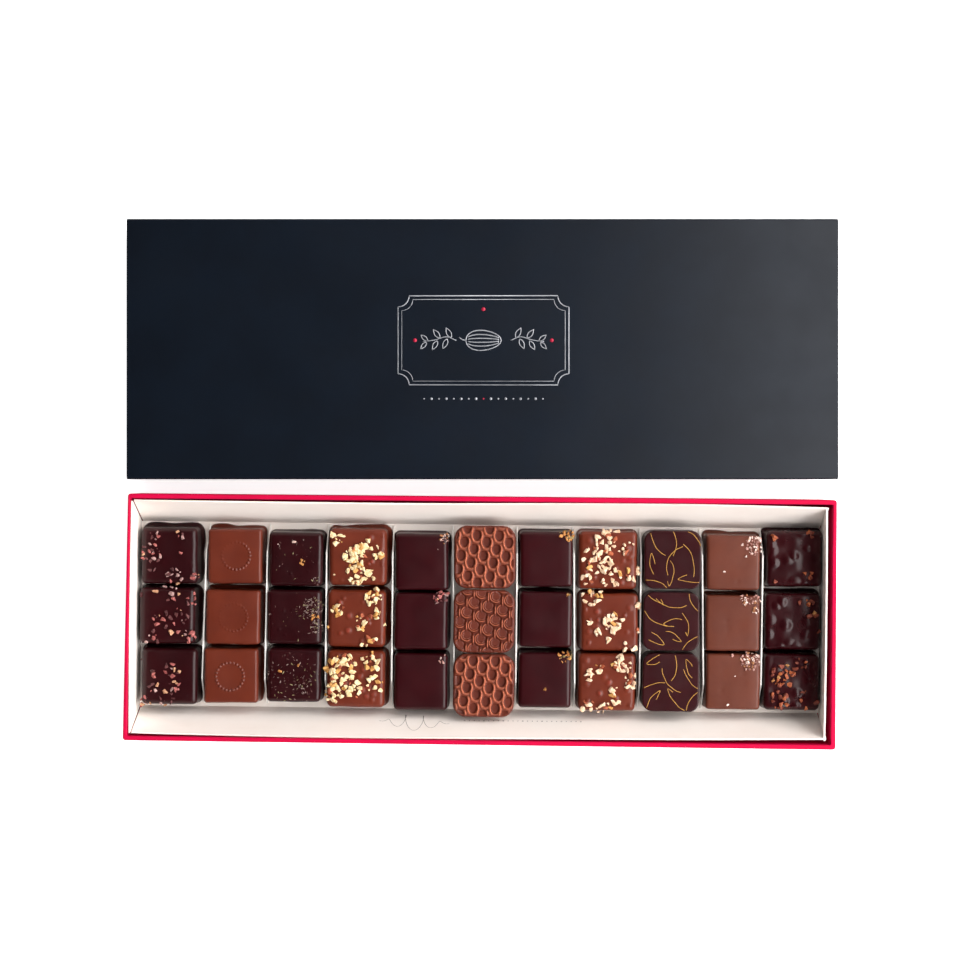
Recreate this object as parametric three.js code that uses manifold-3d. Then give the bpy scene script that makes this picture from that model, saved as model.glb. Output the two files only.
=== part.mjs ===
// A box of chocolate pralines: a shallow crimson card tray with a cream card liner, ten thin card
// dividers, three rows of pralines in eleven lanes, and the slip-on sleeve lying flat behind the tray.
// Millimetres, +Z up, +X to the right along the tray, +Y from the front to the back.

import * as THREE from "three";
import { mergeVertices } from "three/addons/utils/BufferGeometryUtils.js";
import Module from "manifold-3d";

const wasm = await Module();
wasm.setup();

// Driving dimensions of the tray. Its folded walls aren't quite square, so the rim's corners are given as
// x, y from the tray's middle: back right, back left, front left, front right.

const tray = { height: 28, board: 1.5, corner: 1.2, innerCorner: 0.4 };
const rimOutside = [[144.1, 50.35], [-143.5, 49.65], [-144.45, -50.5], [144.65, -51]];
const rimInside = [[142.5, 48.35], [-142.5, 47.7], [-142.8, -48.8], [142.6, -49.1]];

// Driving dimensions of the liner. Folds and upper edges are distances from the tray's middle.

const liner = {
  card: 0.7, // thickness of the folded card
  under: 0.3, // air between the tray's floor and the card
  left: -142.3, // where the left end flap stands
  right: 142.15, // and the right one
  back: { fold: 38, mouth: 46.65 }, // of the long sloped panel behind the pralines
  front: { fold: 38.9, mouth: 47.55 }, // and of the one in front of them
  top: 26.5, // height of the card's upper edge
  slit: 0.4, // cut between each sloped panel and the end flap
};
const linerFloor = tray.board + liner.under + liner.card;

// Driving dimensions of the dividers: the place of each along the tray and how far it is turned, degrees

const divider = { thickness: 0.55, base: 75, crest: 53, height: 11, lift: 0.05 };
const dividerPlaces = [
  [-113.8, -1.3],
  [-88.3, -0.5],
  [-63.6, 0.1],
  [-36.3, 0.1],
  [-11.0, 1.2],
  [14.95, 0],
  [38.8, 0.9],
  [66.0, -0.1],
  [91.8, 1.1],
  [116.15, -0.2],
];

// Driving dimensions of the sleeve, a flat tube open at both short ends

const sleeve = {
  length: 287.45,
  depth: 105.3,
  height: 31.6,
  wall: 1.6,
  corner: 1.0,
  innerCorner: 0.4,
  turn: 0.67, // degrees it is turned against the tray
  aside: -0.42, // from the tray's middle, along the tray
  behind: 109.65, // from the tray's middle to the sleeve's middle, towards the back
};

// Driving dimensions of the pralines

const pieceLift = 0.05; // air between the liner's floor and a piece
const coated = {
  height: 13.5,
  corner: 2.0,
  cornerSteps: 2,
  shoulder: 1.3,
  foot: 0.25, // how far the coat runs out at the floor
  footHeight: 1,
  crown: 0.12, // how much the face bulges
};
const moulded = {
  height: 14.3,
  corner: 3.6,
  cornerSteps: 3,
  shoulder: 1.5,
  foot: 0,
  footHeight: 1,
  crown: 0.1,
};
const relief = {
  height: 15,
  corner: 5.2,
  cornerSteps: 3,
  shoulder: 1.2,
  baseInset: 1.9, // how much narrower the foot is, each side
  neckInset: 0.95, // and the side where it passes the dividers
  neckHeight: 10.9,
  lipHeight: 12.4,
  pitch: 5.6, // between the middles of two cups
  cupDepth: 0.85,
  tilt: 12, // degrees the rows of cups are turned against the piece
};
const unevenness = {
  twist: 0.5, // degrees a piece may lie askew
  size: 0.006, // share by which it may be larger or smaller
  ring: 0.1, // how far one level of its side may stray
  lean: 0.05, // how much narrower the side is under the shoulder
};
const firstSeed = 1000;

// The kinds of topping: mean length of one bit, and how flat it is

const nibs = { length: 2.0, flat: 0.6 };
const nuts = { length: 2.9, flat: 0.62 };
const paleNuts = { length: 2.7, flat: 0.62 };
const flakes = { length: 1.9, flat: 0.5 };
const crystals = { length: 1.4, flat: 0.7 };
const toffee = { length: 1.9, flat: 0.7 };
const caramel = { length: 2.3, flat: 0.7 };
const mounds = { length: 4.6, flat: 0.3 };

const bits = {
  rise: 0.14, // height of a bit's middle above the face, as a share of its thickness
  width: 0.78, // width of a bit as a share of its length
  smallest: 0.8, // shares of the mean length
  largest: 1.2,
  crush: 0.25, // share by which a corner may be moved in or out
  tip: 0.25, // radians a bit may be tipped
  margin: 1.9, // from the piece's side to the nearest bit
  apart: 0.7, // between two bits, as a share of their length
  attempts: 400,
};

// One entry for each lane from left to right. A piece's place is x, y from the tray's middle, from the
// back row to the front. A patch of topping is [kind, x, y, spread, count], in half widths of the piece.

const lanes = [
  {
    colour: "dark",
    size: [23.0, 23.0],
    places: [[-128.3, 24.2], [-128.9, -0.6], [-127.7, -25.6]],
    patches: [
      [[nibs, -0.2, -0.1, 0.7, 7]],
      [[nibs, 0, 0, 0.72, 7]],
      [[nibs, -0.1, -0.1, 0.65, 7]],
    ],
  },
  {
    colour: "milk",
    size: [22.2, 22.4],
    places: [[-101.2, 24.2], [-101.8, -0.9], [-102.3, -25.0]],
    patches: [[], [], []],
  },
  {
    colour: "dark",
    size: [22.2, 22.0],
    places: [[-76.2, 23.3], [-76.6, -0.6], [-76.5, -24.6]],
    patches: [
      [[flakes, 0.1, 0.2, 0.5, 3]],
      [[flakes, 0.5, 0.1, 0.4, 4]],
      [[flakes, 0, 0, 0.6, 3]],
    ],
  },
  {
    colour: "milk",
    size: [23.8, 23.4],
    places: [[-50.6, 24.5], [-50.95, -0.9], [-50.95, -25.7]],
    patches: [
      [[nuts, -0.35, 0.2, 0.5, 7], [nuts, 0.3, -0.1, 0.55, 5]],
      [[nuts, 0.3, 0.45, 0.45, 6], [nuts, -0.2, -0.2, 0.6, 6]],
      [[nuts, -0.4, 0, 0.55, 9], [nuts, 0.4, 0.2, 0.4, 3]],
    ],
  },
  {
    colour: "dark",
    size: [22.0, 23.2],
    places: [[-24.4, 22.8], [-24.4, -1.7], [-24.2, -26.7]],
    patches: [
      [[crystals, 0.7, 0.7, 0.15, 3]],
      [[crystals, 0.62, 0.68, 0.25, 5]],
      [[crystals, 0.7, 0.72, 0.12, 2]],
    ],
  },
  {
    colour: "milk",
    relief: true,
    size: [25.3, 26.0],
    places: [[1.6, 25.1], [1.5, -1.3], [1.7, -27.7]],
    lean: [0, 0, 1.2], // how far the foot lies behind the face, so the front one clears the sloped panel
    turned: [0, 180, 0], // which way the pattern lies on each
    patches: [[], [], []],
  },
  {
    colour: "dark",
    size: [21.6, 22.6],
    places: [[26.9, 24.5], [26.9, -0.4], [26.8, -25.4]],
    patches: [
      [[toffee, 0.65, 0.7, 0.22, 4]],
      [[toffee, 0.72, 0.72, 0.08, 1]],
      [[toffee, 0.62, 0.68, 0.25, 4], [toffee, 0.1, -0.3, 0.02, 1]],
    ],
  },
  {
    colour: "milk",
    size: [23.7, 23.6],
    places: [[52.2, 24.3], [53.1, -1.1], [52.3, -25.9]],
    patches: [
      [[paleNuts, 0, 0, 0.75, 12]],
      [[paleNuts, 0.1, 0, 0.72, 12]],
      [[paleNuts, 0, -0.1, 0.75, 12]],
    ],
  },
  {
    colour: "dark",
    moulded: true,
    size: [23.5, 24.2],
    places: [[78.85, 24.9], [78.5, -0.5], [78.6, -25.6]],
    patches: [[], [], []],
  },
  {
    colour: "milk",
    size: [22.2, 22.8],
    places: [[103.8, 24.0], [103.9, -1.0], [104.3, -25.1]],
    patches: [
      [[flakes, 0.6, 0.62, 0.28, 6]],
      [[flakes, 0.6, 0.62, 0.26, 5]],
      [[flakes, 0.6, 0.66, 0.28, 6]],
    ],
  },
  {
    colour: "dark",
    size: [22.8, 23.0],
    places: [[129.0, 25.9], [128.5, 0], [128.4, -25.0]],
    patches: [
      [[mounds, 0, 0, 0.5, 4], [caramel, 0.5, 0.6, 0.25, 2], [caramel, -0.6, -0.5, 0.2, 2]],
      [[mounds, -0.2, 0, 0.5, 4], [caramel, 0.6, 0, 0.45, 5]],
      [[mounds, 0.1, 0, 0.5, 4], [caramel, -0.3, 0.1, 0.45, 7]],
    ],
  },
];

const finishes = {
  crimson: new THREE.MeshStandardMaterial({ color: "#b00b3a", roughness: 0.5, metalness: 0 }),
  navy: new THREE.MeshStandardMaterial({ color: "#1b202b", roughness: 0.45, metalness: 0 }),
  cream: new THREE.MeshStandardMaterial({ color: "#efe7df", roughness: 0.8, metalness: 0 }),
  white: new THREE.MeshStandardMaterial({ color: "#f4f1ec", roughness: 0.8, metalness: 0 }),
  dark: new THREE.MeshStandardMaterial({ color: "#35131a", roughness: 0.35, metalness: 0 }),
  milk: new THREE.MeshStandardMaterial({ color: "#7c3f2c", roughness: 0.45, metalness: 0 }),
};

// Seeded random numbers from 0 to 1, the same on every run

function dice(seed) {
  let state = seed;
  return () => {
    state = (state + 0x6d2b79f5) | 0;
    let value = Math.imul(state ^ (state >>> 15), 1 | state);
    value = (value + Math.imul(value ^ (value >>> 7), 61 | value)) ^ value;
    return ((value ^ (value >>> 14)) >>> 0) / 4294967296;
  };
}

// A random number from -reach to reach

function stray(random, reach) {
  return (random() * 2 - 1) * reach;
}

// Booleans: a closed geometry to a solid, and back

function solid(geometry) {
  const bare = geometry.clone();
  bare.deleteAttribute("normal");
  bare.deleteAttribute("uv");
  const merged = mergeVertices(bare, 1e-4);
  return new wasm.Manifold(
    new wasm.Mesh({
      numProp: 3,
      vertProperties: new Float32Array(merged.attributes.position.array),
      triVerts: new Uint32Array(merged.index.array),
    }),
  );
}

function geometryOf(body) {
  const mesh = body.getMesh();
  const geometry = new THREE.BufferGeometry();
  geometry.setAttribute("position", new THREE.BufferAttribute(new Float32Array(mesh.vertProperties), 3));
  geometry.setIndex(new THREE.BufferAttribute(new Uint32Array(mesh.triVerts), 1));
  geometry.computeVertexNormals();
  return geometry;
}

// A loop through four corners, each rounded, at height z, counter-clockwise seen from above and starting
// with the corner at the back right

function roundedLoop(corners, radius, steps, z) {
  const points = [];
  corners.forEach(([cornerX, cornerY], quarter) => {
    const x = cornerX - Math.sign(cornerX) * radius;
    const y = cornerY - (quarter < 2 ? radius : -radius);
    for (let step = 0; step <= steps; step++) {
      const angle = (quarter + step / steps) * (Math.PI / 2);
      points.push(new THREE.Vector3(x + radius * Math.cos(angle), y + radius * Math.sin(angle), z));
    }
  });
  return points;
}

function ring(width, depth, corner, steps, z, shiftY = 0) {
  const right = width / 2;
  const back = shiftY + depth / 2;
  const front = shiftY - depth / 2;
  const corners = [[right, back], [-right, back], [-right, front], [right, front]];
  return roundedLoop(corners, corner, steps, z);
}

// A closed skin over a stack of rings with the same number of points, closed by a fan at each end

function loft(rings, firstMiddle, lastMiddle) {
  const count = rings[0].length;
  const points = rings.flat().concat([firstMiddle, lastMiddle]);
  const first = rings.length * count;
  const last = first + 1;
  const faces = [];
  for (let side = 0; side < count; side++) {
    const next = (side + 1) % count;
    for (let level = 0; level + 1 < rings.length; level++) {
      const low = level * count;
      const high = low + count;
      faces.push(low + side, low + next, high + next, low + side, high + next, high + side);
    }
    const end = (rings.length - 1) * count;
    faces.push(first, next, side, last, end + side, end + next);
  }
  const geometry = new THREE.BufferGeometry().setFromPoints(points);
  geometry.setIndex(faces);
  geometry.computeVertexNormals();
  return geometry;
}

// An outline in depth and height, drawn out along the tray between two places

function drawnAlongX(shape, from, to) {
  const geometry = new THREE.ExtrudeGeometry(shape, {
    depth: to - from,
    bevelEnabled: false,
    curveSegments: 3,
  });
  geometry.rotateX(Math.PI / 2);
  geometry.rotateZ(Math.PI / 2);
  geometry.translate(from, 0, 0);
  return geometry;
}

function outline(points) {
  return new THREE.Shape(points.map(([y, z]) => new THREE.Vector2(y, z)));
}

function named(name, geometry, finish) {
  const mesh = new THREE.Mesh(geometry, finish);
  mesh.name = name;
  return mesh;
}

// Tray: a floor and four upright walls

function trayMesh() {
  const steps = 3;
  const rings = [
    roundedLoop(rimOutside, tray.corner, steps, 0),
    roundedLoop(rimOutside, tray.corner, steps, tray.height),
    roundedLoop(rimInside, tray.innerCorner, steps, tray.height),
    roundedLoop(rimInside, tray.innerCorner, steps, tray.board),
  ];
  const geometry = loft(rings, new THREE.Vector3(0, 0, 0), new THREE.Vector3(0, 0, tray.board));
  return named("tray", geometry, finishes.crimson);
}

// Liner: a card channel with two sloped long panels, and an end flap cut free of them at each corner

function panelProfile({ fold, mouth }) {
  const rise = liner.top - linerFloor;
  const run = mouth - fold;
  const slant = Math.hypot(rise, run);
  const outward = (liner.card * rise) / slant;
  const downward = (liner.card * run) / slant;
  return {
    fold,
    mouth,
    toe: fold + outward - ((liner.card - downward) * run) / rise,
    lip: mouth + outward,
    lipHeight: liner.top - downward,
  };
}

function linerMesh() {
  const back = panelProfile(liner.back);
  const front = panelProfile(liner.front);
  const under = linerFloor - liner.card;
  const channel = outline([
    [-front.toe, under],
    [back.toe, under],
    [back.lip, back.lipHeight],
    [back.mouth, liner.top],
    [back.fold, linerFloor],
    [-front.fold, linerFloor],
    [-front.mouth, liner.top],
    [-front.lip, front.lipHeight],
  ]);
  const plate = outline([
    [-front.fold, under],
    [back.fold, under],
    [back.fold, linerFloor],
    [-front.fold, linerFloor],
  ]);
  const flap = outline([
    [-front.fold, under],
    [back.fold, under],
    [back.mouth, liner.top],
    [-front.mouth, liner.top],
  ]);
  const cut = liner.card + liner.slit;
  const body = solid(drawnAlongX(channel, liner.left + cut, liner.right - cut))
    .add(solid(drawnAlongX(plate, liner.left, liner.right)))
    .add(solid(drawnAlongX(flap, liner.left, liner.left + liner.card)))
    .add(solid(drawnAlongX(flap, liner.right - liner.card, liner.right)));
  return named("liner", geometryOf(body), finishes.cream);
}

// Dividers: thin upright strips with sloping ends

function dividerMesh(index) {
  const [place, turn] = dividerPlaces[index];
  const strip = outline([
    [-divider.base / 2, 0],
    [divider.base / 2, 0],
    [divider.crest / 2, divider.height],
    [-divider.crest / 2, divider.height],
  ]);
  const geometry = drawnAlongX(strip, -divider.thickness / 2, divider.thickness / 2);
  const mesh = named(`divider_${index + 1}`, geometry, finishes.white);
  mesh.position.set(place, 0, linerFloor + divider.lift);
  mesh.rotation.z = THREE.MathUtils.degToRad(turn);
  return mesh;
}

// Sleeve: a flat tube of board

function roundedRectangle(target, width, height, corner) {
  const right = width / 2;
  const top = height / 2;
  target.moveTo(right, -top + corner);
  target.lineTo(right, top - corner);
  target.absarc(right - corner, top - corner, corner, 0, Math.PI / 2);
  target.absarc(-right + corner, top - corner, corner, Math.PI / 2, Math.PI);
  target.absarc(-right + corner, -top + corner, corner, Math.PI, 1.5 * Math.PI);
  target.absarc(right - corner, -top + corner, corner, 1.5 * Math.PI, 2 * Math.PI);
  return target;
}

function sleeveMesh() {
  const tube = roundedRectangle(new THREE.Shape(), sleeve.depth, sleeve.height, sleeve.corner);
  const hollow = roundedRectangle(
    new THREE.Path(),
    sleeve.depth - 2 * sleeve.wall,
    sleeve.height - 2 * sleeve.wall,
    sleeve.innerCorner,
  );
  tube.holes.push(hollow);
  const mesh = named("sleeve", drawnAlongX(tube, -sleeve.length / 2, sleeve.length / 2), finishes.navy);
  mesh.position.set(sleeve.aside, sleeve.behind, sleeve.height / 2);
  mesh.rotation.z = THREE.MathUtils.degToRad(sleeve.turn);
  return mesh;
}

// Pralines coated by hand or turned out of a mould: a soft-edged block on a slightly wider foot

function block(width, depth, form, random) {
  const soft = form.shoulder * (1 - Math.SQRT1_2);
  const levels = [
    [-form.foot, 0],
    [0, form.footHeight],
    [unevenness.lean, form.height - form.shoulder],
    [soft, form.height - soft],
    [form.shoulder, form.height],
  ];
  const rings = levels.map(([inset, z]) => {
    const corner = Math.max(form.corner - inset, form.corner / 2);
    const aside = inset > 0 ? stray(random, unevenness.ring) : 0;
    return ring(width - 2 * inset, depth - 2 * inset, corner, form.cornerSteps, z, aside);
  });
  return loft(rings, new THREE.Vector3(0, 0, 0), new THREE.Vector3(0, 0, form.height + form.crown));
}

// The block with the cup relief: its foot is narrow, and it spreads above the dividers

function reliefBlock(width, depth, lean) {
  const soft = relief.shoulder * (1 - Math.SQRT1_2);
  const levels = [
    [relief.baseInset, 0],
    [relief.neckInset, relief.neckHeight],
    [0, relief.lipHeight],
    [soft, relief.height - soft],
    [relief.shoulder, relief.height],
  ];
  const rings = levels.map(([inset, z]) => {
    const back = lean * Math.max(0, 1 - z / relief.neckHeight);
    return ring(width - 2 * inset, depth - 2 * inset, relief.corner - inset, relief.cornerSteps, z, back);
  });
  return loft(rings, new THREE.Vector3(0, lean, 0), new THREE.Vector3(0, 0, relief.height));
}

// A slab whose upper face is a staggered net of cups: one low point at every second crossing, each way,
// of a grid of equal-sided triangles

function cupSlab(reach, turn) {
  const half = relief.pitch / 2;
  const rows = 2 * Math.ceil(reach / relief.pitch);
  const columns = 2 * rows;
  const points = [];
  for (const upper of [true, false]) {
    for (let row = -rows; row <= rows; row++) {
      for (let column = -columns; column <= columns; column++) {
        const isCup = row % 2 === 0 && column % 2 === 0;
        const top = relief.height - (isCup ? relief.cupDepth : 0);
        const x = (column + row / 2) * half;
        const y = (row * half * Math.sqrt(3)) / 2;
        points.push(new THREE.Vector3(x, y, upper ? top : -1));
      }
    }
  }
  const geometry = new THREE.BufferGeometry().setFromPoints(points);
  geometry.setIndex(slabFaces(2 * columns + 1, 2 * rows + 1));
  geometry.rotateZ(THREE.MathUtils.degToRad(turn));
  return geometry;
}

// Faces of a slab given as an upper and a lower grid of points: both skins and the four walls

function slabFaces(across, along) {
  const layer = across * along;
  const faces = [];
  const wall = (a, b) => faces.push(a, layer + a, b, b, layer + a, layer + b);
  for (let row = 0; row + 1 < along; row++) {
    for (let column = 0; column + 1 < across; column++) {
      const a = row * across + column;
      const b = a + 1;
      const c = a + across;
      const d = c + 1;
      faces.push(a, b, c, b, d, c);
      faces.push(layer + a, layer + c, layer + b, layer + b, layer + c, layer + d);
    }
  }
  const last = (along - 1) * across;
  for (let column = 0; column + 1 < across; column++) {
    wall(column, column + 1);
    wall(last + column + 1, last + column);
  }
  for (let row = 0; row + 1 < along; row++) {
    wall((row + 1) * across, row * across);
    wall((row + 1) * across - 1, (row + 2) * across - 1);
  }
  return faces;
}

// A seeded share of the mean length of a bit

function sizeShare(random) {
  return bits.smallest + (bits.largest - bits.smallest) * random();
}

// One angular bit of topping, sunk a little way into the face of the piece

function bit(kind, x, y, faceHeight, random) {
  const length = kind.length * sizeShare(random);
  const thickness = length * kind.flat;
  const geometry = new THREE.BoxGeometry(length, length * bits.width, thickness);
  const corners = mergeVertices(geometry.deleteAttribute("normal").deleteAttribute("uv"));
  const place = corners.attributes.position;
  const crushed = (value) => value * (1 + stray(random, bits.crush));
  for (let index = 0; index < place.count; index++) {
    place.setX(index, crushed(place.getX(index)));
    place.setY(index, crushed(place.getY(index)));
    place.setZ(index, crushed(place.getZ(index)));
  }
  corners.rotateX(stray(random, bits.tip));
  corners.rotateZ(random() * Math.PI);
  corners.translate(x, y, faceHeight + thickness * bits.rise);
  return corners;
}

// A low mound in a bumpy coat: a flattened ball with few sides

function mound(kind, x, y, faceHeight, random) {
  const geometry = new THREE.SphereGeometry((kind.length / 2) * sizeShare(random), 7, 4);
  geometry.rotateX(Math.PI / 2);
  geometry.scale(1, 1, kind.flat);
  geometry.translate(x, y, faceHeight);
  return geometry;
}

// Places for the bits of one patch: kept apart, and kept on the flat of the face

function patchPlaces([kind, middleX, middleY, spread, count], width, depth, random) {
  const reachX = width / 2 - bits.margin;
  const reachY = depth / 2 - bits.margin;
  const apart = kind.length * bits.apart;
  const places = [];
  for (let attempt = 0; attempt < bits.attempts && places.length < count; attempt++) {
    const angle = random() * 2 * Math.PI;
    const far = spread * Math.sqrt(random());
    const x = (middleX + far * Math.cos(angle)) * (width / 2);
    const y = (middleY + far * Math.sin(angle)) * (depth / 2);
    const near = places.some((other) => Math.hypot(other[0] - x, other[1] - y) < apart);
    if (Math.abs(x) < reachX && Math.abs(y) < reachY && !near) {
      places.push([x, y]);
    }
  }
  return places;
}

function topped(body, patches, width, depth, height, random) {
  let result = body;
  for (const patch of patches) {
    const kind = patch[0];
    const make = kind === mounds ? mound : bit;
    for (const [x, y] of patchPlaces(patch, width, depth, random)) {
      result = result.add(solid(make(kind, x, y, height, random)));
    }
  }
  return result;
}

function pralineGeometry(lane, rowIndex, random) {
  const [width, depth] = lane.size.map((side) => side * (1 + stray(random, unevenness.size)));
  if (lane.relief) {
    const body = solid(reliefBlock(width, depth, lane.lean[rowIndex]));
    const slab = solid(cupSlab(depth, lane.turned[rowIndex] - relief.tilt));
    return geometryOf(body.intersect(slab));
  }
  const form = lane.moulded ? moulded : coated;
  const bare = block(width, depth, form, random);
  const patches = lane.patches[rowIndex];
  if (patches.length === 0) {
    return bare;
  }
  return geometryOf(topped(solid(bare), patches, width, depth, form.height, random));
}

function pralineMesh(laneIndex, rowIndex) {
  const lane = lanes[laneIndex];
  const random = dice(firstSeed + 10 * laneIndex + rowIndex);
  const [x, y] = lane.places[rowIndex];
  const name = `praline_${laneIndex + 1}_${rowIndex + 1}`;
  const mesh = named(name, pralineGeometry(lane, rowIndex, random), finishes[lane.colour]);
  mesh.position.set(x, y, linerFloor + pieceLift);
  mesh.rotation.z = THREE.MathUtils.degToRad(stray(random, unevenness.twist));
  return mesh;
}

// The whole box, with the middle of its footprint on the origin

const box = new THREE.Group();
box.add(trayMesh(), linerMesh(), sleeveMesh());
dividerPlaces.forEach((place, index) => box.add(dividerMesh(index)));
lanes.forEach((lane, laneIndex) => {
  lane.places.forEach((place, rowIndex) => box.add(pralineMesh(laneIndex, rowIndex)));
});

const footprint = new THREE.Box3().setFromObject(box);
const middle = footprint.getCenter(new THREE.Vector3());
box.position.set(-middle.x, -middle.y, 0);

const group = new THREE.Group();
group.add(box);

export default group;
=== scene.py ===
"""Dresses a box of chocolate pralines: board and card, coated and moulded pieces, toppings and a studio."""

import math

import bmesh
import bpy
import numpy as np
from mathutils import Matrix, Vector


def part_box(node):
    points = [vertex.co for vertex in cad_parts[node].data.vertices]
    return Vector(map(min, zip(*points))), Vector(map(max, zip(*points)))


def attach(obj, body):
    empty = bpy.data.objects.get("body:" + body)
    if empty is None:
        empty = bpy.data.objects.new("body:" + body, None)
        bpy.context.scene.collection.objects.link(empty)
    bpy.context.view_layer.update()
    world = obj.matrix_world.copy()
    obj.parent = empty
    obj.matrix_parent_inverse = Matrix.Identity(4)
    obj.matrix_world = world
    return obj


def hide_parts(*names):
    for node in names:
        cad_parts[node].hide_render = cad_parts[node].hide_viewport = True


bl_info = {
    "name": "Praline Box Dresser",
    "version": (1, 0, 0),
    "blender": (4, 5, 0),
    "location": "View3D > Sidebar > Pralines",
    "description": "Dresses a box of chocolate pralines piece by piece",
    "category": "Object",
}

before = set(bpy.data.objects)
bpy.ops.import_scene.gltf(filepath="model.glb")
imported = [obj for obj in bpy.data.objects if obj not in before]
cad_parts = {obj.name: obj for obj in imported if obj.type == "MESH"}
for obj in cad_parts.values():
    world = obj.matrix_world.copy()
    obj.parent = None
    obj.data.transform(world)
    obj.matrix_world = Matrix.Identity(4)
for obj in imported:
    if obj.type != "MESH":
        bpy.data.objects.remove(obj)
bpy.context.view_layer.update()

MM = 0.001
BODY = "root"
LANES = 11
ROWS = 3

# The tray's rim, in millimetres from the tray's middle: back right, back left, front left, front right

RIM_OUTSIDE = ((144.1, 50.35), (-143.5, 49.65), (-144.45, -50.5), (144.65, -51.0))
RIM_INSIDE = ((142.5, 48.35), (-142.5, 47.7), (-142.8, -48.8), (142.6, -49.1))
BOARD = 1.5
LINER_FLOOR = 2.5


def middle_and_size(node):
    """The middle of a node's footprint, its size and its lowest point, in millimetres."""
    low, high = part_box(node)
    middle = (low + high) / 2 / MM
    size = (high - low) / MM
    return middle, size, low.z / MM


def tray_middle():
    """Where the tray's own middle lies in the row's frame, in millimetres."""
    low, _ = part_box("tray")
    return low.x / MM - min(x for x, _ in RIM_OUTSIDE), low.y / MM - min(y for _, y in RIM_OUTSIDE)


def smoothstep(value):
    """From 0 to 1 with a soft start and a soft end."""
    t = np.clip(value, 0.0, 1.0)
    return t * t * (3 - 2 * t)


def soft_noise(x, y, cell, seed):
    """Smooth seeded noise from -1 to 1, with bumps about one cell wide."""
    table = np.random.default_rng(seed).uniform(-1, 1, (64, 64))
    column, row = x / cell + 32, y / cell + 32
    i, j = np.floor(column).astype(int), np.floor(row).astype(int)
    u, v = smoothstep(column - i), smoothstep(row - j)
    i, j = i % 64, j % 64
    near = table[i, j] * (1 - u) + table[(i + 1) % 64, j] * u
    far = table[i, (j + 1) % 64] * (1 - u) + table[(i + 1) % 64, (j + 1) % 64] * u
    return near * (1 - v) + far * v


# What each kind of piece measures, in millimetres


class Form:
    """The profile of one kind of praline, in millimetres, and how finely its skin is divided."""

    def __init__(self, shoulder, corner, height=13.5, draft=0.2, skirt=1.0, divisions=27, neck=None):
        self.shoulder, self.corner, self.height = shoulder, corner, height
        self.draft, self.skirt, self.divisions = draft, skirt, divisions
        self.neck = neck  # how far in the neck and the base lie, and how high the neck


FORMS = {
    1: Form(2.1, 2.1),
    2: Form(1.3, 1.4, divisions=60),
    3: Form(1.9, 1.9),
    4: Form(2.1, 2.3),
    5: Form(1.8, 1.8),
    6: Form(1.1, 5.4, height=14.6, draft=0.0, skirt=0.0, divisions=90, neck=(0.95, 1.9, 10.9)),
    7: Form(1.7, 1.7),
    8: Form(1.8, 2.0),
    9: Form(0.6, 4.2, height=14.3, draft=0.1, skirt=0.0, divisions=30),
    10: Form(1.3, 1.5),
    11: Form(1.8, 2.1),
}
MILK_LANES = (2, 4, 6, 8, 10)
RING_LANE, SCALE_LANE, PRINT_LANE, DENT_LANE, BLISTER_LANE = 2, 6, 9, 10, 11
MOULDED_LANES = (SCALE_LANE, PRINT_LANE)
STILL_LANES = (6, 7, 9)
RAGGED_BACKS = (1, 2, 4, 10, 11)

# Small domes in the coat of some lanes: their count, radii, heights and reach over the face

FEW, MANY = (7, (0.6, 1.1), (0.06, 0.2), 0.86), (20, (1.1, 2.1), (0.22, 0.55), 0.95)
DOMES = {
    1: FEW, 3: FEW, 4: MANY, 8: MANY,
    DENT_LANE: (2, (1.4, 2.4), (0.05, 0.1), 0.7),
    BLISTER_LANE: (14, (1.7, 3.2), (0.4, 0.85), 1.0),
}

# The coat: how far its face stays level and then sinks, how it wavers, and how far it runs out at the foot;
# the foot is partly the coat's real foot and partly dark chocolate that stands in for the shade in the gaps
# between pieces

ROLL_START, ROLL_DEPTH = 0.5, 0.35
WAVER = 0.12
SIDE_REACH, SIDE_SHARE = 1.7, 0.78
BACK_REACH, RAGGED_REACH, FRONT_REACH = 0.85, 1.35, 0.3
BACK_SHARE, FRONT_SHARE = 0.62, 0.28
END_ROOM = 1.5
TWIST = math.radians(0.4)
LEAN = 1.2  # of the front piece of the scaled lane, whose foot stands back from the sloped panel
FOOT_HEIGHT = 2.4
SHOULDER_RINGS = 8
SIDE_RINGS = 4
FOOT_RINGS = 4


# Reliefs on the faces, each a height in millimetres over a place on the face


def dome(x, y, at, radius, height):
    """A round bump, or a dent where height is negative."""
    away = ((x - at[0]) ** 2 + (y - at[1]) ** 2) / radius**2
    return height * np.clip(1 - away, 0, 1) ** 2


# The ring of beads by row: its middle, its strength and how much of it is worn off on the left

RINGS = {1: ((0.4, 0.2), 0.9, 0.9), 2: ((0.2, 0.0), 0.45, 0.8), 3: ((-0.5, -0.3), 1.0, 0.2)}
RING_RADIUS, BEADS, BEAD_RADIUS, BEAD_HEIGHT = 5.7, 24, 0.74, 0.5
CLEAREST = -0.6


def dotted_ring(x, y, at, strength, worn):
    """An imprint of small beads in a ring round a shallow dish, clearest towards one angle."""
    height = dome(x, y, at, RING_RADIUS + 0.6, -0.3 * strength)
    for bead in range(BEADS):
        angle = 2 * math.pi * bead / BEADS
        clear = 1 - worn * (0.5 - 0.5 * math.cos(angle - CLEAREST))
        spot = (at[0] + RING_RADIUS * math.cos(angle), at[1] + RING_RADIUS * math.sin(angle))
        height = height + dome(x, y, spot, BEAD_RADIUS, BEAD_HEIGHT * strength * clear)
    return height


def scattered_domes(x, y, half, seed, count, radius, height, reach):
    """Seeded domes over the face, the highest one showing wherever they meet."""
    rng = np.random.default_rng(seed)
    total = np.zeros_like(x)
    for _ in range(count):
        at = rng.uniform(-reach, reach, 2) * half
        size = rng.uniform(*radius)
        total = np.maximum(total, dome(x, y, at, size, rng.uniform(*height)))
    return total


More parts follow.
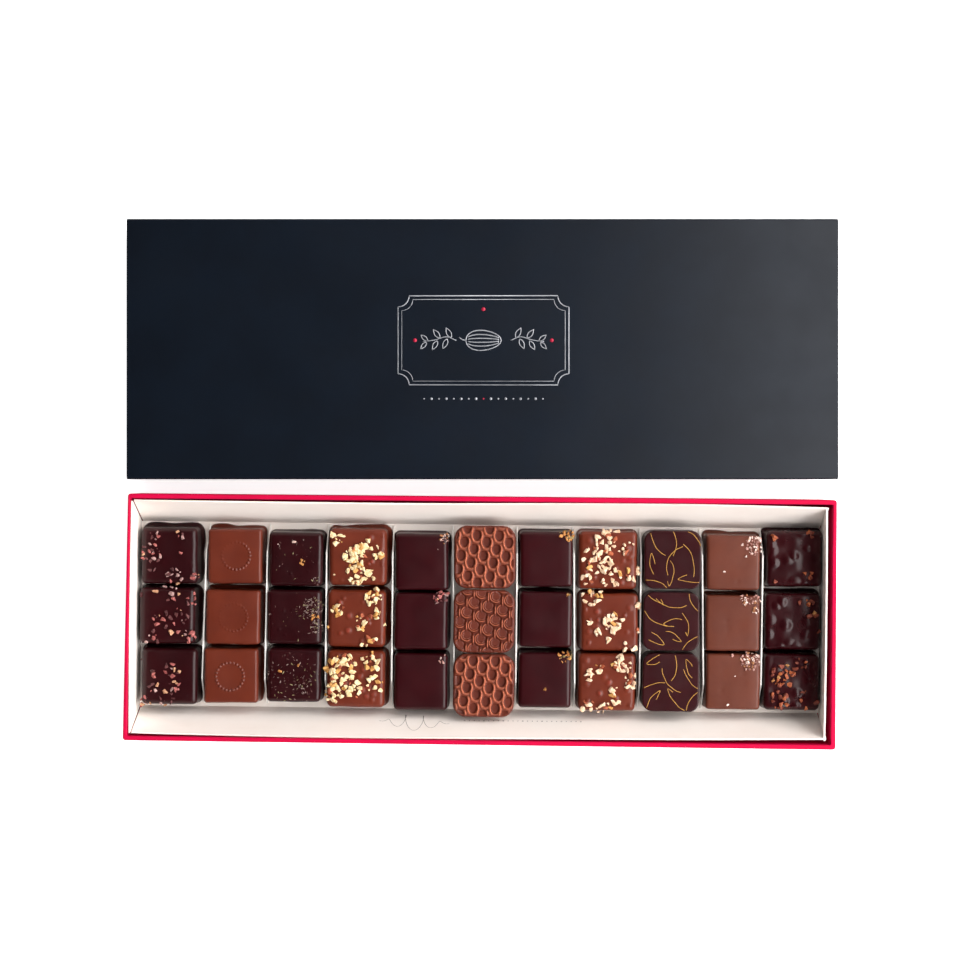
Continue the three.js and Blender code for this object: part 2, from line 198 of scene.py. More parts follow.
def lattice(x, y, along, across):
    """The nearest crossings of a slanted lattice, as offsets from the place."""
    base = np.array([along, across]).T
    inverse = np.linalg.inv(base)
    a = inverse[0, 0] * x + inverse[0, 1] * y
    b = inverse[1, 0] * x + inverse[1, 1] * y
    for i in range(-1, 3):
        for j in range(-1, 3):
            ca, cb = np.floor(a) + i, np.floor(b) + j
            yield x - (base[0, 0] * ca + base[0, 1] * cb), y - (base[1, 0] * ca + base[1, 1] * cb)


def arc_window(angle, middle, reach, soft):
    """1 within reach of an angle, falling to 0 beyond it over a soft stretch, in degrees."""
    off = np.abs((np.degrees(angle) - middle + 180) % 360 - 180)
    return smoothstep((reach + soft - off) / soft)


def cup_net(x, y):
    """Sunk cups in a slanted net, each held between a left and a right ridge that meet under it."""
    ridge = np.zeros_like(x)
    cup = np.zeros_like(x)
    for dx, dy in lattice(x, y, (3.95, -2.85), (-5.2, -2.7)):
        reach = np.where(dy < 0, 2.45, 2.0)
        away = np.hypot(dx / 1.85, dy / reach)
        angle = np.arctan2(dy / reach, dx / 1.85)
        beyond = (away - 1.18) * 1.9
        left = 1.0 * arc_window(angle, 188, 32, 32)
        right = 0.85 * arc_window(angle, -8, 30, 32)
        low = 0.35 * arc_window(angle, 270, 40, 20)
        ridge = np.maximum(ridge, np.maximum(np.maximum(left, right), low) * np.exp(-((beyond / 0.44) ** 2)))
        cup = np.maximum(cup, smoothstep((1.02 - away) / 0.16) * smoothstep((2.1 - dy) / 0.6))
    return ridge - 0.6 * cup


def drop_scales(x, y):
    """Round plates in a slanted net, each with a thick double rim at its lower left and a stem above."""
    rim = np.zeros_like(x)
    plate = np.zeros_like(x)
    groove = np.zeros_like(x)
    for dx, dy in lattice(x, y, (5.85, -1.5), (2.9, -5.5)):
        away = np.hypot(dx, dy)
        angle = np.arctan2(dy, dx)
        outer = 0.95 * arc_window(angle, 215, 85, 45) * np.exp(-(((away - 2.3) / 0.34) ** 2))
        inner = 0.6 * arc_window(angle, 225, 65, 35) * np.exp(-(((away - 1.6) / 0.2) ** 2))
        along = np.clip(dy, 2.2, 5.2)
        stem = 0.95 * np.exp(-((np.hypot(dx + 0.1, dy - along) / 0.42) ** 2))
        rim = np.maximum(rim, np.maximum(np.maximum(outer, inner), stem))
        plate = np.maximum(plate, smoothstep((1.95 - away) / 0.25))
        groove = np.maximum(groove, arc_window(angle, 25, 60, 40) * np.exp(-(((away - 2.15) / 0.4) ** 2)))
    return rim + 0.1 * plate - 0.4 * groove * (1 - plate) - 0.4


class Piece:
    """One praline: where it lies, read from its node, and the height of its face."""

    def __init__(self, lane, row):
        self.lane, self.row = lane, row
        self.node = f"praline_{lane}_{row}"
        self.form = FORMS[lane]
        self.seed = 100 * lane + row
        middle, size, self.base = middle_and_size(self.node)
        self.x, self.y = middle.x, middle.y
        spread = 0.1 if lane in MOULDED_LANES else 0.12
        self.half = np.array([size.x / 2 - spread, size.y / 2 - spread])
        self.turn = np.random.default_rng(self.seed).uniform(-TWIST, TWIST)
        self.side_room = self.room(f"divider_{lane - 1}"), self.room(f"divider_{lane}")

    def room(self, divider):
        """The free floor between the piece and the divider on one side, or the liner's end."""
        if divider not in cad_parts:
            return END_ROOM
        middle, size, _ = middle_and_size(divider)
        return abs(middle.x - self.x) - self.half[0] - size.x / 2

    def relief(self, x, y):
        """The face's own relief at local x, y, over its plain height."""
        lane, row = self.lane, self.row
        if lane == SCALE_LANE:
            return drop_scales(x + 1.2, y - 2.2) if row == 2 else cup_net(x + 0.6 * row, y - 0.7 * row)
        total = 0.06 * soft_noise(x, y, 8.0, self.seed) + 0.01 * soft_noise(x, y, 2.2, self.seed + 7)
        if lane == PRINT_LANE:
            return 0.3 * total
        if lane == RING_LANE:
            total = total + dotted_ring(x, y, *RINGS[row])
        if lane in DOMES:
            way = -1 if lane == DENT_LANE else 1
            total = total + way * scattered_domes(x, y, self.half, self.seed, *DOMES[lane])
        if lane == BLISTER_LANE:
            total = total + 0.3 * soft_noise(x, y, 3.6, self.seed + 3)
        return total

    def roll(self, x, y):
        """How a poured coat sinks towards the edges of its face; a moulded face stays flat."""
        if self.lane in MOULDED_LANES:
            return 0 * x
        off_x = np.clip((np.abs(x) / self.half[0] - ROLL_START) / (1 - ROLL_START), 0, 1)
        off_y = np.clip((np.abs(y) / self.half[1] - ROLL_START) / (1 - ROLL_START), 0, 1)
        return -ROLL_DEPTH * (off_x**2 + off_y**2)

    def inside(self, x, y):
        """How far a place lies inside the outline of the face with its shoulder."""
        corner = self.form.corner
        over_x = np.abs(x) - (self.half[0] - self.form.draft - corner)
        over_y = np.abs(y) - (self.half[1] - self.form.draft - corner)
        beyond = np.hypot(np.maximum(over_x, 0), np.maximum(over_y, 0))
        return corner - beyond - np.minimum(np.maximum(over_x, over_y), 0)

    def face(self, x, y):
        """Height over the liner's floor at a local place, down over the rounded shoulder too."""
        form = self.form
        sunk = np.clip((form.shoulder - self.inside(x, y)) / form.shoulder, 0, 1)
        drop = form.shoulder * (1 - np.sqrt(1 - np.minimum(sunk, 0.98) ** 2))
        return form.height - drop + self.relief(x, y) * (1 - sunk) + self.roll(x, y)

    def lay(self, points, lift):
        """Points on the face, lifted off it, in the row's frame."""
        height = self.face(points[:, 0], points[:, 1]) + lift
        return self.place(np.column_stack([points, height]))

    def place(self, points):
        """Local points to the row's frame, in millimetres."""
        cos, sin = math.cos(self.turn), math.sin(self.turn)
        x, y, z = points[:, 0], points[:, 1], points[:, 2]
        return np.column_stack([self.x + cos * x - sin * y, self.y + sin * x + cos * y, self.base + z])


PIECES = {(lane, row): Piece(lane, row) for lane in range(1, LANES + 1) for row in range(1, ROWS + 1)}


# Meshes


def new_object(name, points, faces, materials, slot, looks=None, smooth=True):
    """A mesh object at the origin from points in millimetres, riding on the row's one body."""
    mesh = bpy.data.meshes.new(name)
    mesh.from_pydata((np.asarray(points, float) * MM).tolist(), [], faces)
    for material in materials:
        mesh.materials.append(material)
    mesh.polygons.foreach_set("use_smooth", [smooth] * len(mesh.polygons))
    if looks is not None:
        mesh.polygons.foreach_set("material_index", looks)
    mesh.update()
    piece = bpy.data.objects.new(name, mesh)
    bpy.context.scene.collection.objects.link(piece)
    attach(piece, BODY)
    return piece


def sharpen(piece, degrees):
    """Hard edges where two faces meet at more than this angle, so that flats stay flat."""
    mesh = bmesh.new()
    mesh.from_mesh(piece.data)
    for edge in mesh.edges:
        if len(edge.link_faces) == 2:
            edge.smooth = edge.calc_face_angle(0) < math.radians(degrees)
    mesh.to_mesh(piece.data)
    mesh.free()


def corner_loop(corners, inset, radius, steps, z):
    """A loop inside four corners given from the back right, counter-clockwise, each corner rounded."""
    points = []
    for quarter, (corner_x, corner_y) in enumerate(corners):
        x = corner_x - math.copysign(inset + radius, corner_x)
        y = corner_y - (inset + radius if quarter < 2 else -inset - radius)
        for step in range(steps + 1):
            angle = (quarter + step / steps) * math.pi / 2
            points.append((x + radius * math.cos(angle), y + radius * math.sin(angle), z))
    return points


def rounded_ring(width, depth, corner, steps, z):
    """A rounded rectangle as a ring of points, counter-clockwise seen from above."""
    x, y = width / 2, depth / 2
    return corner_loop(((x, y), (-x, y), (-x, -y), (x, -y)), 0.0, corner, steps, z)


def skin(count, levels, closed=False):
    """Faces between stacked rings of count points; closed joins the last ring to the first."""
    faces = []
    for level in range(levels if closed else levels - 1):
        low, high = level * count, ((level + 1) % levels) * count
        for side in range(count):
            after = (side + 1) % count
            faces.append((low + side, low + after, high + after, high + side))
    return faces


def capped_loft(rings):
    """Points and faces of a stack of rings, closed by one flat face at each end."""
    count = len(rings[0])
    faces = skin(count, len(rings))
    faces.append(tuple(reversed(range(count))))
    faces.append(tuple(range((len(rings) - 1) * count, len(rings) * count)))
    return np.array([point for ring in rings for point in ring]), faces


def praline_skin(piece):
    """The skin of one praline: a square grid whose outer rings bend over the shoulder to the foot."""
    form, half = piece.form, piece.half
    shoulder_end = form.divisions + SHOULDER_RINGS
    side_end = shoulder_end + SIDE_RINGS
    count = side_end + FOOT_RINGS
    steps = np.arange(-count, count + 1)
    u, v = np.meshgrid(steps, steps, indexing="ij")
    ring = np.maximum(np.abs(u), np.abs(v)).astype(float)
    safe = np.maximum(ring, 1)

    over = np.clip((ring - form.divisions) / SHOULDER_RINGS, 0, 1) * math.pi / 2
    down = np.clip((ring - shoulder_end) / SIDE_RINGS, 0, 1)
    last = np.clip((ring - side_end) / FOOT_RINGS, 0, 1)
    side_height = form.height - form.shoulder - FOOT_HEIGHT
    z = form.height - form.shoulder * (1 - np.cos(over)) - down * side_height - last * FOOT_HEIGHT
    inset = form.draft * (1 - down) + form.shoulder * (1 - np.sin(over))
    if form.neck:
        neck_inset, base_inset, neck_height = form.neck
        waist = smoothstep((neck_height + 1.6 - z) / 1.6) * neck_inset
        inset = inset + waist + np.clip((neck_height - z) / neck_height, 0, 1) * (base_inset - neck_inset)
    inset = inset - skirt_reach(piece, u, v) * smoothstep(1 - z / FOOT_HEIGHT)

    scale = np.clip(ring / form.divisions, 0, 1)
    reach_x = (half[0] - inset) * scale
    reach_y = (half[1] - inset) * scale
    corner = np.maximum(form.corner - inset, form.corner / 2) * scale
    x, y = u / safe * reach_x, v / safe * reach_y
    hold_x = np.clip(x, -(reach_x - corner), reach_x - corner)
    hold_y = np.clip(y, -(reach_y - corner), reach_y - corner)
    off = np.hypot(x - hold_x, y - hold_y)
    pull = np.where(off > 1e-9, corner / np.maximum(off, 1e-9), 0)
    x, y = hold_x + (x - hold_x) * pull, hold_y + (y - hold_y) * pull

    fade = 0.7 * SHOULDER_RINGS + 0.05 * form.divisions
    face_share = 1 - smoothstep((ring - form.divisions * 0.95) / fade)
    z = z + piece.relief(x, y) * face_share + piece.roll(x, y) * (1 - down)
    waver = WAVER * (0.3 if piece.lane in STILL_LANES else 1.0)
    waver = waver * soft_noise(x, y, 5.0, piece.seed + 90) * smoothstep((ring / form.divisions - 0.7) / 0.3)
    x, y = x * (1 + waver / half[0]), y * (1 + waver / half[1])
    if piece.lane == SCALE_LANE and piece.row == ROWS:
        y = y + LEAN * np.clip(1 - z / form.neck[2], 0, 1)
    points = piece.place(np.column_stack([x.ravel(), y.ravel(), z.ravel()]))
    return points, grid_faces(2 * count + 1)


def gap_between(behind, before):
    """The free floor between a piece and the one before it in the same lane."""
    return behind.y - behind.half[1] - before.y - before.half[1]


def skirt_reach(piece, u, v):
    """How far the poured coat has run out round the foot: partly its real foot, and partly a dark fill that
    nearly closes the gaps to its neighbours, standing in for the shade in those gaps.
    """
    angle = np.arctan2(v, u)
    lumps = soft_noise(5 * np.cos(angle), 5 * np.sin(angle), 2.2, piece.seed + 50)
    back = smoothstep((np.sin(angle) - 0.45) / 0.4)
    front = smoothstep((-np.sin(angle) - 0.45) / 0.4)
    ragged = piece.row == 1 and piece.lane in RAGGED_BACKS
    back_reach = RAGGED_REACH if ragged else BACK_REACH
    if piece.row > 1:
        back_reach = BACK_SHARE * gap_between(PIECES[piece.lane, piece.row - 1], piece)
    front_reach = FRONT_REACH
    if piece.row < ROWS:
        front_reach = FRONT_SHARE * gap_between(piece, PIECES[piece.lane, piece.row + 1])
    # The side reach is a share of the free floor to the divider: the dark foot there stands in for the shade
    # in that gap
    side = np.where(np.cos(angle) > 0, piece.side_room[1], piece.side_room[0])
    side = np.minimum(SIDE_SHARE * side, SIDE_REACH) * smoothstep(np.abs(np.cos(angle)) / 0.5)
    reach = side + (back_reach - side) * back + (front_reach - side) * front
    return piece.form.skirt * reach * (1 + (0.5 if ragged else 0.25) * lumps)


def grid_faces(side):
    """Quads over a square grid of points, and one face closing the underside."""
    index = np.arange(side * side).reshape(side, side)
    a, b = index[:-1, :-1].ravel(), index[1:, :-1].ravel()
    c, d = index[1:, 1:].ravel(), index[:-1, 1:].ravel()
    faces = np.column_stack([a, b, c, d]).tolist()
    rim = [*index[:-1, 0], *index[-1, :-1], *index[:0:-1, -1], *index[0, :0:-1]]
    faces.append([int(i) for i in reversed(rim)])
    return faces


def shard(rng, length, width, flat, corners):
    """Points and faces of one broken bit: a hull round seeded points, with its edges softened."""
    way = rng.normal(size=(corners, 3))
    way /= np.abs(way).max(axis=1)[:, None] ** 0.6 * np.linalg.norm(way, axis=1)[:, None] ** 0.4
    shape = way * rng.uniform(0.75, 1.0, (corners, 1)) * np.array([length, width, flat]) / 2
    mesh = bmesh.new()
    for point in shape:
        mesh.verts.new(point)
    bmesh.ops.convex_hull(mesh, input=mesh.verts)
    loose = [vert for vert in mesh.verts if not vert.link_faces]
    bmesh.ops.delete(mesh, geom=loose, context="VERTS")
    bmesh.ops.bevel(
        mesh, geom=list(mesh.edges), offset=0.05 * length, segments=1, affect="EDGES", clamp_overlap=True
    )
    mesh.verts.ensure_lookup_table()
    mesh.verts.index_update()
    points = np.array([vert.co[:] for vert in mesh.verts])
    faces = [[vert.index for vert in face.verts] for face in mesh.faces]
    mesh.free()
    return points, faces


def turned(points, yaw, tilt):
    """Points tilted about the first axis and then turned about the upright one."""
    cy, sy, ct, st = math.cos(yaw), math.sin(yaw), math.cos(tilt), math.sin(tilt)
    x, y, z = points.T
    y, z = ct * y - st * z, st * y + ct * z
    return np.column_stack([cy * x - sy * y, sy * x + cy * y, z])


class Join:
    """Gathers many small closed shapes into one mesh."""

    def __init__(self):
        self.points, self.faces, self.looks, self.size = [], [], [], 0

    def add(self, points, faces, look=0):
        """Adds one shape; look is the index of its material."""
        self.points.append(points)
        self.faces += [[index + self.size for index in face] for face in faces]
        self.looks += [look] * len(faces)
        self.size += len(points)

    def made(self, name, materials, slot, smooth=True):
        """One object of all the shapes."""
        return new_object(name, np.vstack(self.points), self.faces, materials, slot, self.looks, smooth)


def smooth_path(knots, per_span=8, closed=False):
    """A smooth line through the knots."""
    knots = np.asarray(knots, float)
    if closed:
        padded = np.vstack([knots[-1], knots, knots[:2]])
    else:
        padded = np.vstack([2 * knots[0] - knots[1], knots, 2 * knots[-1] - knots[-2]])
    path = []
    for k in range(1, len(padded) - 2):
        a, b, c, d = padded[k - 1], padded[k], padded[k + 1], padded[k + 2]
        for t in np.linspace(0, 1, per_span, endpoint=False):
            curve = 2 * b + (c - a) * t + (2 * a - 5 * b + 4 * c - d) * t**2 + (3 * b - a - 3 * c + d) * t**3
            path.append(curve / 2)
    if not closed:
        path.append(padded[-2])
    return np.array(path)


# How far a printed or foiled line stands above its surface and reaches below it, in millimetres

LIFT, SINK = 0.03, 0.05


def ribbon(path, width, lay, lift=LIFT, sink=SINK, closed=False):
    """A thin closed strip along a flat path; lay puts flat points on a surface, lifted off it."""
    path = np.asarray(path, float)
    if closed:
        ahead, behind = np.roll(path, -1, axis=0), np.roll(path, 1, axis=0)
    else:
        ahead, behind = np.vstack([path[1:], path[-1]]), np.vstack([path[0], path[:-1]])
    way = ahead - behind
    way /= np.maximum(np.linalg.norm(way, axis=1), 1e-9)[:, None]
    aside = np.column_stack([-way[:, 1], way[:, 0]]) * width / 2
    left, right = path + aside, path - aside
    edges = [lay(right, -sink), lay(right, lift), lay(left, lift), lay(left, -sink)]
    count = len(path)
    faces = skin(4, count, closed)
    if not closed:
        faces.append((3, 2, 1, 0))
        faces.append(tuple(4 * (count - 1) + k for k in range(4)))
    return np.stack(edges, axis=1).reshape(-1, 3), faces


# Shader groups: effects that several finishes share


PALE_GREY, MID_GREY = (0.8, 0.8, 0.8, 1), (0.5, 0.5, 0.5, 1)
NOISE_LOW, NOISE_HIGH = 0.35, 0.65


def new_group(name, inputs, output, kind):
    """An empty shader group with one output, and an input for each default, colour or number."""
    group = bpy.data.node_groups.new(name, "ShaderNodeTree")
    for label, default in inputs.items():
        socket = "NodeSocketColor" if isinstance(default, tuple) else "NodeSocketFloat"
        group.interface.new_socket(label, in_out="INPUT", socket_type=socket).default_value = default
    group.interface.new_socket(output, in_out="OUTPUT", socket_type=kind)
    start = group.nodes.new("NodeGroupInput")
    end = group.nodes.new("NodeGroupOutput")
    return group, start.outputs, end.inputs[output]


def wire(tree, *pairs):
    """Links outputs to inputs, pair by pair."""
    for source, target in pairs:
        tree.links.new(source, target)


def noise_node(group, scale, detail, roughness):
    """Noise over the object's own place, its scale coming from one of the group's inputs."""
    place = group.nodes.new("ShaderNodeTexCoord")
    texture = group.nodes.new("ShaderNodeTexNoise")
    texture.inputs["Detail"].default_value = detail
    texture.inputs["Roughness"].default_value = roughness
    wire(group, (place.outputs["Object"], texture.inputs["Vector"]), (scale, texture.inputs["Scale"]))
    return texture.outputs["Fac"]


def blend_nodes(group, value, ends, colours):
    """The first colour below one end of a value, the second above the other, with a soft step between."""
    spread = group.nodes.new("ShaderNodeMapRange")
    spread.interpolation_type = "SMOOTHSTEP"
    mix = group.nodes.new("ShaderNodeMix")
    mix.data_type = "RGBA"
    wire(
        group,
        (value, spread.inputs["Value"]),
        (ends[0], spread.inputs["From Min"]),
        (ends[1], spread.inputs["From Max"]),
        (spread.outputs["Result"], mix.inputs["Factor"]),
        (colours[0], mix.inputs["A"]),
        (colours[1], mix.inputs["B"]),
    )
    return mix.outputs["Result"]


def mottle_group():
    """Two colours mixed by soft cloudy noise."""
    inputs = {"Light": PALE_GREY, "Deep": MID_GREY, "Scale": 100.0, "From": NOISE_LOW, "To": NOISE_HIGH}
    group, start, colour = new_group("Mottle", inputs, "Colour", "NodeSocketColor")
    clouds = noise_node(group, start["Scale"], 4.0, 0.6)
    mixed = blend_nodes(group, clouds, (start["From"], start["To"]), (start["Light"], start["Deep"]))
    wire(group, (mixed, colour))
    return group


def grain_group():
    """A fine rough grain as a bent normal."""
    inputs = {"Scale": 900.0, "Depth": 0.00005, "Strength": 0.4}
    group, start, normal = new_group("Fine grain", inputs, "Normal", "NodeSocketVector")
    bump = group.nodes.new("ShaderNodeBump")
    wire(
        group,
        (noise_node(group, start["Scale"], 5.0, 0.65), bump.inputs["Height"]),
        (start["Depth"], bump.inputs["Distance"]),
        (start["Strength"], bump.inputs["Strength"]),
        (bump.outputs["Normal"], normal),
    )
    return group


def gloss_group():
    """Roughness that wanders between two values, as on a hand-poured coat or a rubbed board."""
    inputs = {"Low": 0.3, "High": 0.45, "Scale": 150.0}
    group, start, roughness = new_group("Uneven gloss", inputs, "Roughness", "NodeSocketFloat")
    spread = group.nodes.new("ShaderNodeMapRange")
    spread.inputs["From Min"].default_value = NOISE_LOW
    spread.inputs["From Max"].default_value = NOISE_HIGH
    wire(
        group,
        (noise_node(group, start["Scale"], 3.0, 0.55), spread.inputs["Value"]),
        (start["Low"], spread.inputs["To Min"]),
        (start["High"], spread.inputs["To Max"]),
        (spread.outputs["Result"], roughness),
    )
    return group


def crest_group():
    """A second colour on whatever stands higher than a level: where a thin coat shows its filling, and a
    painted highlight on raised ridges.
    """
    inputs = {"Colour": MID_GREY, "Raised": PALE_GREY, "Low": 0.016, "High": 0.017}
    group, start, colour = new_group("Raised crests", inputs, "Colour", "NodeSocketColor")
    place = group.nodes.new("ShaderNodeTexCoord")
    split = group.nodes.new("ShaderNodeSeparateXYZ")
    levels = start["Low"], start["High"]
    mixed = blend_nodes(group, split.outputs["Z"], levels, (start["Colour"], start["Raised"]))
    wire(group, (place.outputs["Object"], split.inputs["Vector"]), (mixed, colour))
    return group


GROUPS = {"mottle": mottle_group(), "grain": grain_group(), "gloss": gloss_group(), "crest": crest_group()}


def placed_group(material, key, **values):
    """One of the groups in a material, with its own values."""
    node = material.node_tree.nodes.new("ShaderNodeGroup")
    node.node_tree = GROUPS[key]
    for label, value in values.items():
        node.inputs[label.capitalize()].default_value = value
    return node


def linear(colour):
    """A colour from 0 to 255 a channel, as seen on a screen, to the linear one that a shader takes."""
    share = [channel / 255 for channel in colour]
    return tuple(c / 12.92 if c <= 0.04045 else ((c + 0.055) / 1.055) ** 2.4 for c in share) + (1.0,)


def finish(
    name, light, deep, mottle=150, between=(0.3, 0.7), gloss=(0.3, 0.45, 150), grain=(900, 0.00004, 0.4),
    crest=None, **sockets,
):
    """A finish: mottled colour, uneven gloss and a fine grain round one principled shader.

    mottle is the scale of its clouds and between the noise that they fade over; gloss gives two
    roughnesses and a scale, grain a scale, a depth and a strength, and the raised colour a colour and two
    levels.
    That colour goes on whatever stands above the levels: a thin coat's filling on some pieces, a painted
    highlight on the ridges of others.
    """
    material = bpy.data.materials.new(name)
    material.use_nodes = True
    tree = material.node_tree
    shader = tree.nodes["Principled BSDF"].inputs
    colour = placed_group(material, "mottle", light=light, deep=deep, scale=mottle, to=between[1])
    colour.inputs["From"].default_value = between[0]
    rough = placed_group(material, "gloss", low=gloss[0], high=gloss[1], scale=gloss[2])
    bent = placed_group(material, "grain", scale=grain[0], depth=grain[1], strength=grain[2])
    # The raised colour is a filling's tint on the thin coat and a painted highlight on the scale lane's
    # ridges
    if crest:
        raised = placed_group(material, "crest", raised=crest[0], low=crest[1] * MM, high=crest[2] * MM)
        wire(tree, (colour.outputs["Colour"], raised.inputs["Colour"]))
        colour = raised
    wire(
        tree,
        (colour.outputs["Colour"], shader["Base Color"]),
        (rough.outputs["Roughness"], shader["Roughness"]),
        (bent.outputs["Normal"], shader["Normal"]),
    )
    for label, value in sockets.items():
        shader[label.replace("_", " ")].default_value = value
    return material


def card_finish(name, light, deep, mottle, grain=2200, **sockets):
    """A finish of plain matt card."""
    return finish(name, light, deep, mottle, gloss=(0.7, 0.85, 120), grain=(grain, 0.00004, 0.5), **sockets)


# Settings that a user would change


def colour_setting(label, words, default):
    """A colour that a user may change; its default is given as seen on a screen."""
    return bpy.props.FloatVectorProperty(
        name=label, description=words, subtype="COLOR", size=4, min=0, max=1, default=linear(default)
    )


def measure_setting(label, words, default, unit="LENGTH"):
    """A length in metres, or another measure, that a user may change."""
    return bpy.props.FloatProperty(name=label, description=words, default=default, min=0, unit=unit)


class BoardSettings(bpy.types.PropertyGroup):
    crimson: colour_setting("Crimson", "Paper that wraps the tray's board", (192, 2, 59))
    navy: colour_setting("Navy", "Paper that wraps the sleeve", (13, 20, 30))
    lining: colour_setting("Lining", "Paper inside the sleeve", (214, 208, 200))
    card: colour_setting("Card", "Cream card of the liner", (247, 238, 231))
    strip: colour_setting("Strip", "White card of the dividers", (244, 241, 236))
    silver: colour_setting("Silver", "Foil of the emblem on the sleeve", (176, 178, 184))
    edge_radius: measure_setting("Edge radius", "Rounding of the wrapped board's edges", 0.0004)
    foil_width: measure_setting("Foil line", "Width of a foil line on the sleeve", 0.0004)


class ChocolateSettings(bpy.types.PropertyGroup):
    milk: colour_setting("Milk", "Milk chocolate in the light", (99, 38, 21))
    milk_deep: colour_setting("Milk, deep", "Milk chocolate where it runs darker", (90, 33, 18))
    pale: colour_setting("Pale", "Paler milk chocolate in the light", (94, 46, 32))
    pale_deep: colour_setting("Pale, deep", "Paler milk chocolate where it runs darker", (86, 41, 28))
    dark: colour_setting("Dark", "Dark chocolate in the light", (46, 5, 10))
    dark_deep: colour_setting("Dark, deep", "Dark chocolate where it runs darker", (39, 4, 8))
    gloss: bpy.props.FloatProperty(
        name="Gloss roughness", description="Roughness of the coat at its glossiest",
        default=0.3, min=0.05, max=1, subtype="FACTOR",
    )


class ToppingSettings(bpy.types.PropertyGroup):
    nut_length: measure_setting("Nut length", "Mean length of a chopped nut", 0.0030)
    nib_length: measure_setting("Nib length", "Mean length of a cocoa nib", 0.0024)
    line_width: measure_setting("Print line", "Width of a printed line on the moulded pieces", 0.00022)
    amount: measure_setting("Amount", "Bits scattered, as a share of each patch's own count", 1.25, "NONE")


class StudioSettings(bpy.types.PropertyGroup):
    camera_height: measure_setting("Camera height", "Camera above the table", 0.873)
    camera_lens: measure_setting("Lens", "Focal length of the camera in millimetres", 78.17, "CAMERA")
    camera_roll: bpy.props.FloatProperty(
        name="Roll", description="Turn of the camera about its axis",
        default=math.radians(0.67), subtype="ANGLE",
    )
    key_power: measure_setting("Key light", "Power of the softbox on the right", 31.0, "POWER")
    top_power: measure_setting("Overhead light", "Power of the wide diffuser overhead", 33.0, "POWER")
    side_power: measure_setting("Side lights", "Power of each diffuser behind and in front", 7.0, "POWER")


SETTINGS = {
    "praline_board": BoardSettings,
    "praline_chocolate": ChocolateSettings,
    "praline_topping": ToppingSettings,
    "praline_studio": StudioSettings,
}


# Studio


AIM = Vector((0, 0, 0.02))


def softbox(name, place, size, power, colour=(1, 1, 1)):
    """An area light that looks at the middle of the box."""
    data = bpy.data.lights.new(name, "AREA")
    data.shape = "RECTANGLE"
    data.size, data.size_y = size
    data.energy = power
    data.color = colour
    light = bpy.data.objects.new(name, data)
    light.location = place
    light.rotation_euler = (AIM - Vector(place)).to_track_quat("-Z", "Y").to_euler()
    bpy.context.scene.collection.objects.link(light)
    return light


def ranged(tree, value, start, end, first, last):
    """A number that runs from first to last while a value runs from start to end."""
    spread = tree.nodes.new("ShaderNodeMapRange")
    for label, number in (("From Min", start), ("From Max", end), ("To Min", first), ("To Max", last)):
        spread.inputs[label].default_value = number
    wire(tree, (value, spread.inputs["Value"]))
    return spread.outputs["Result"]


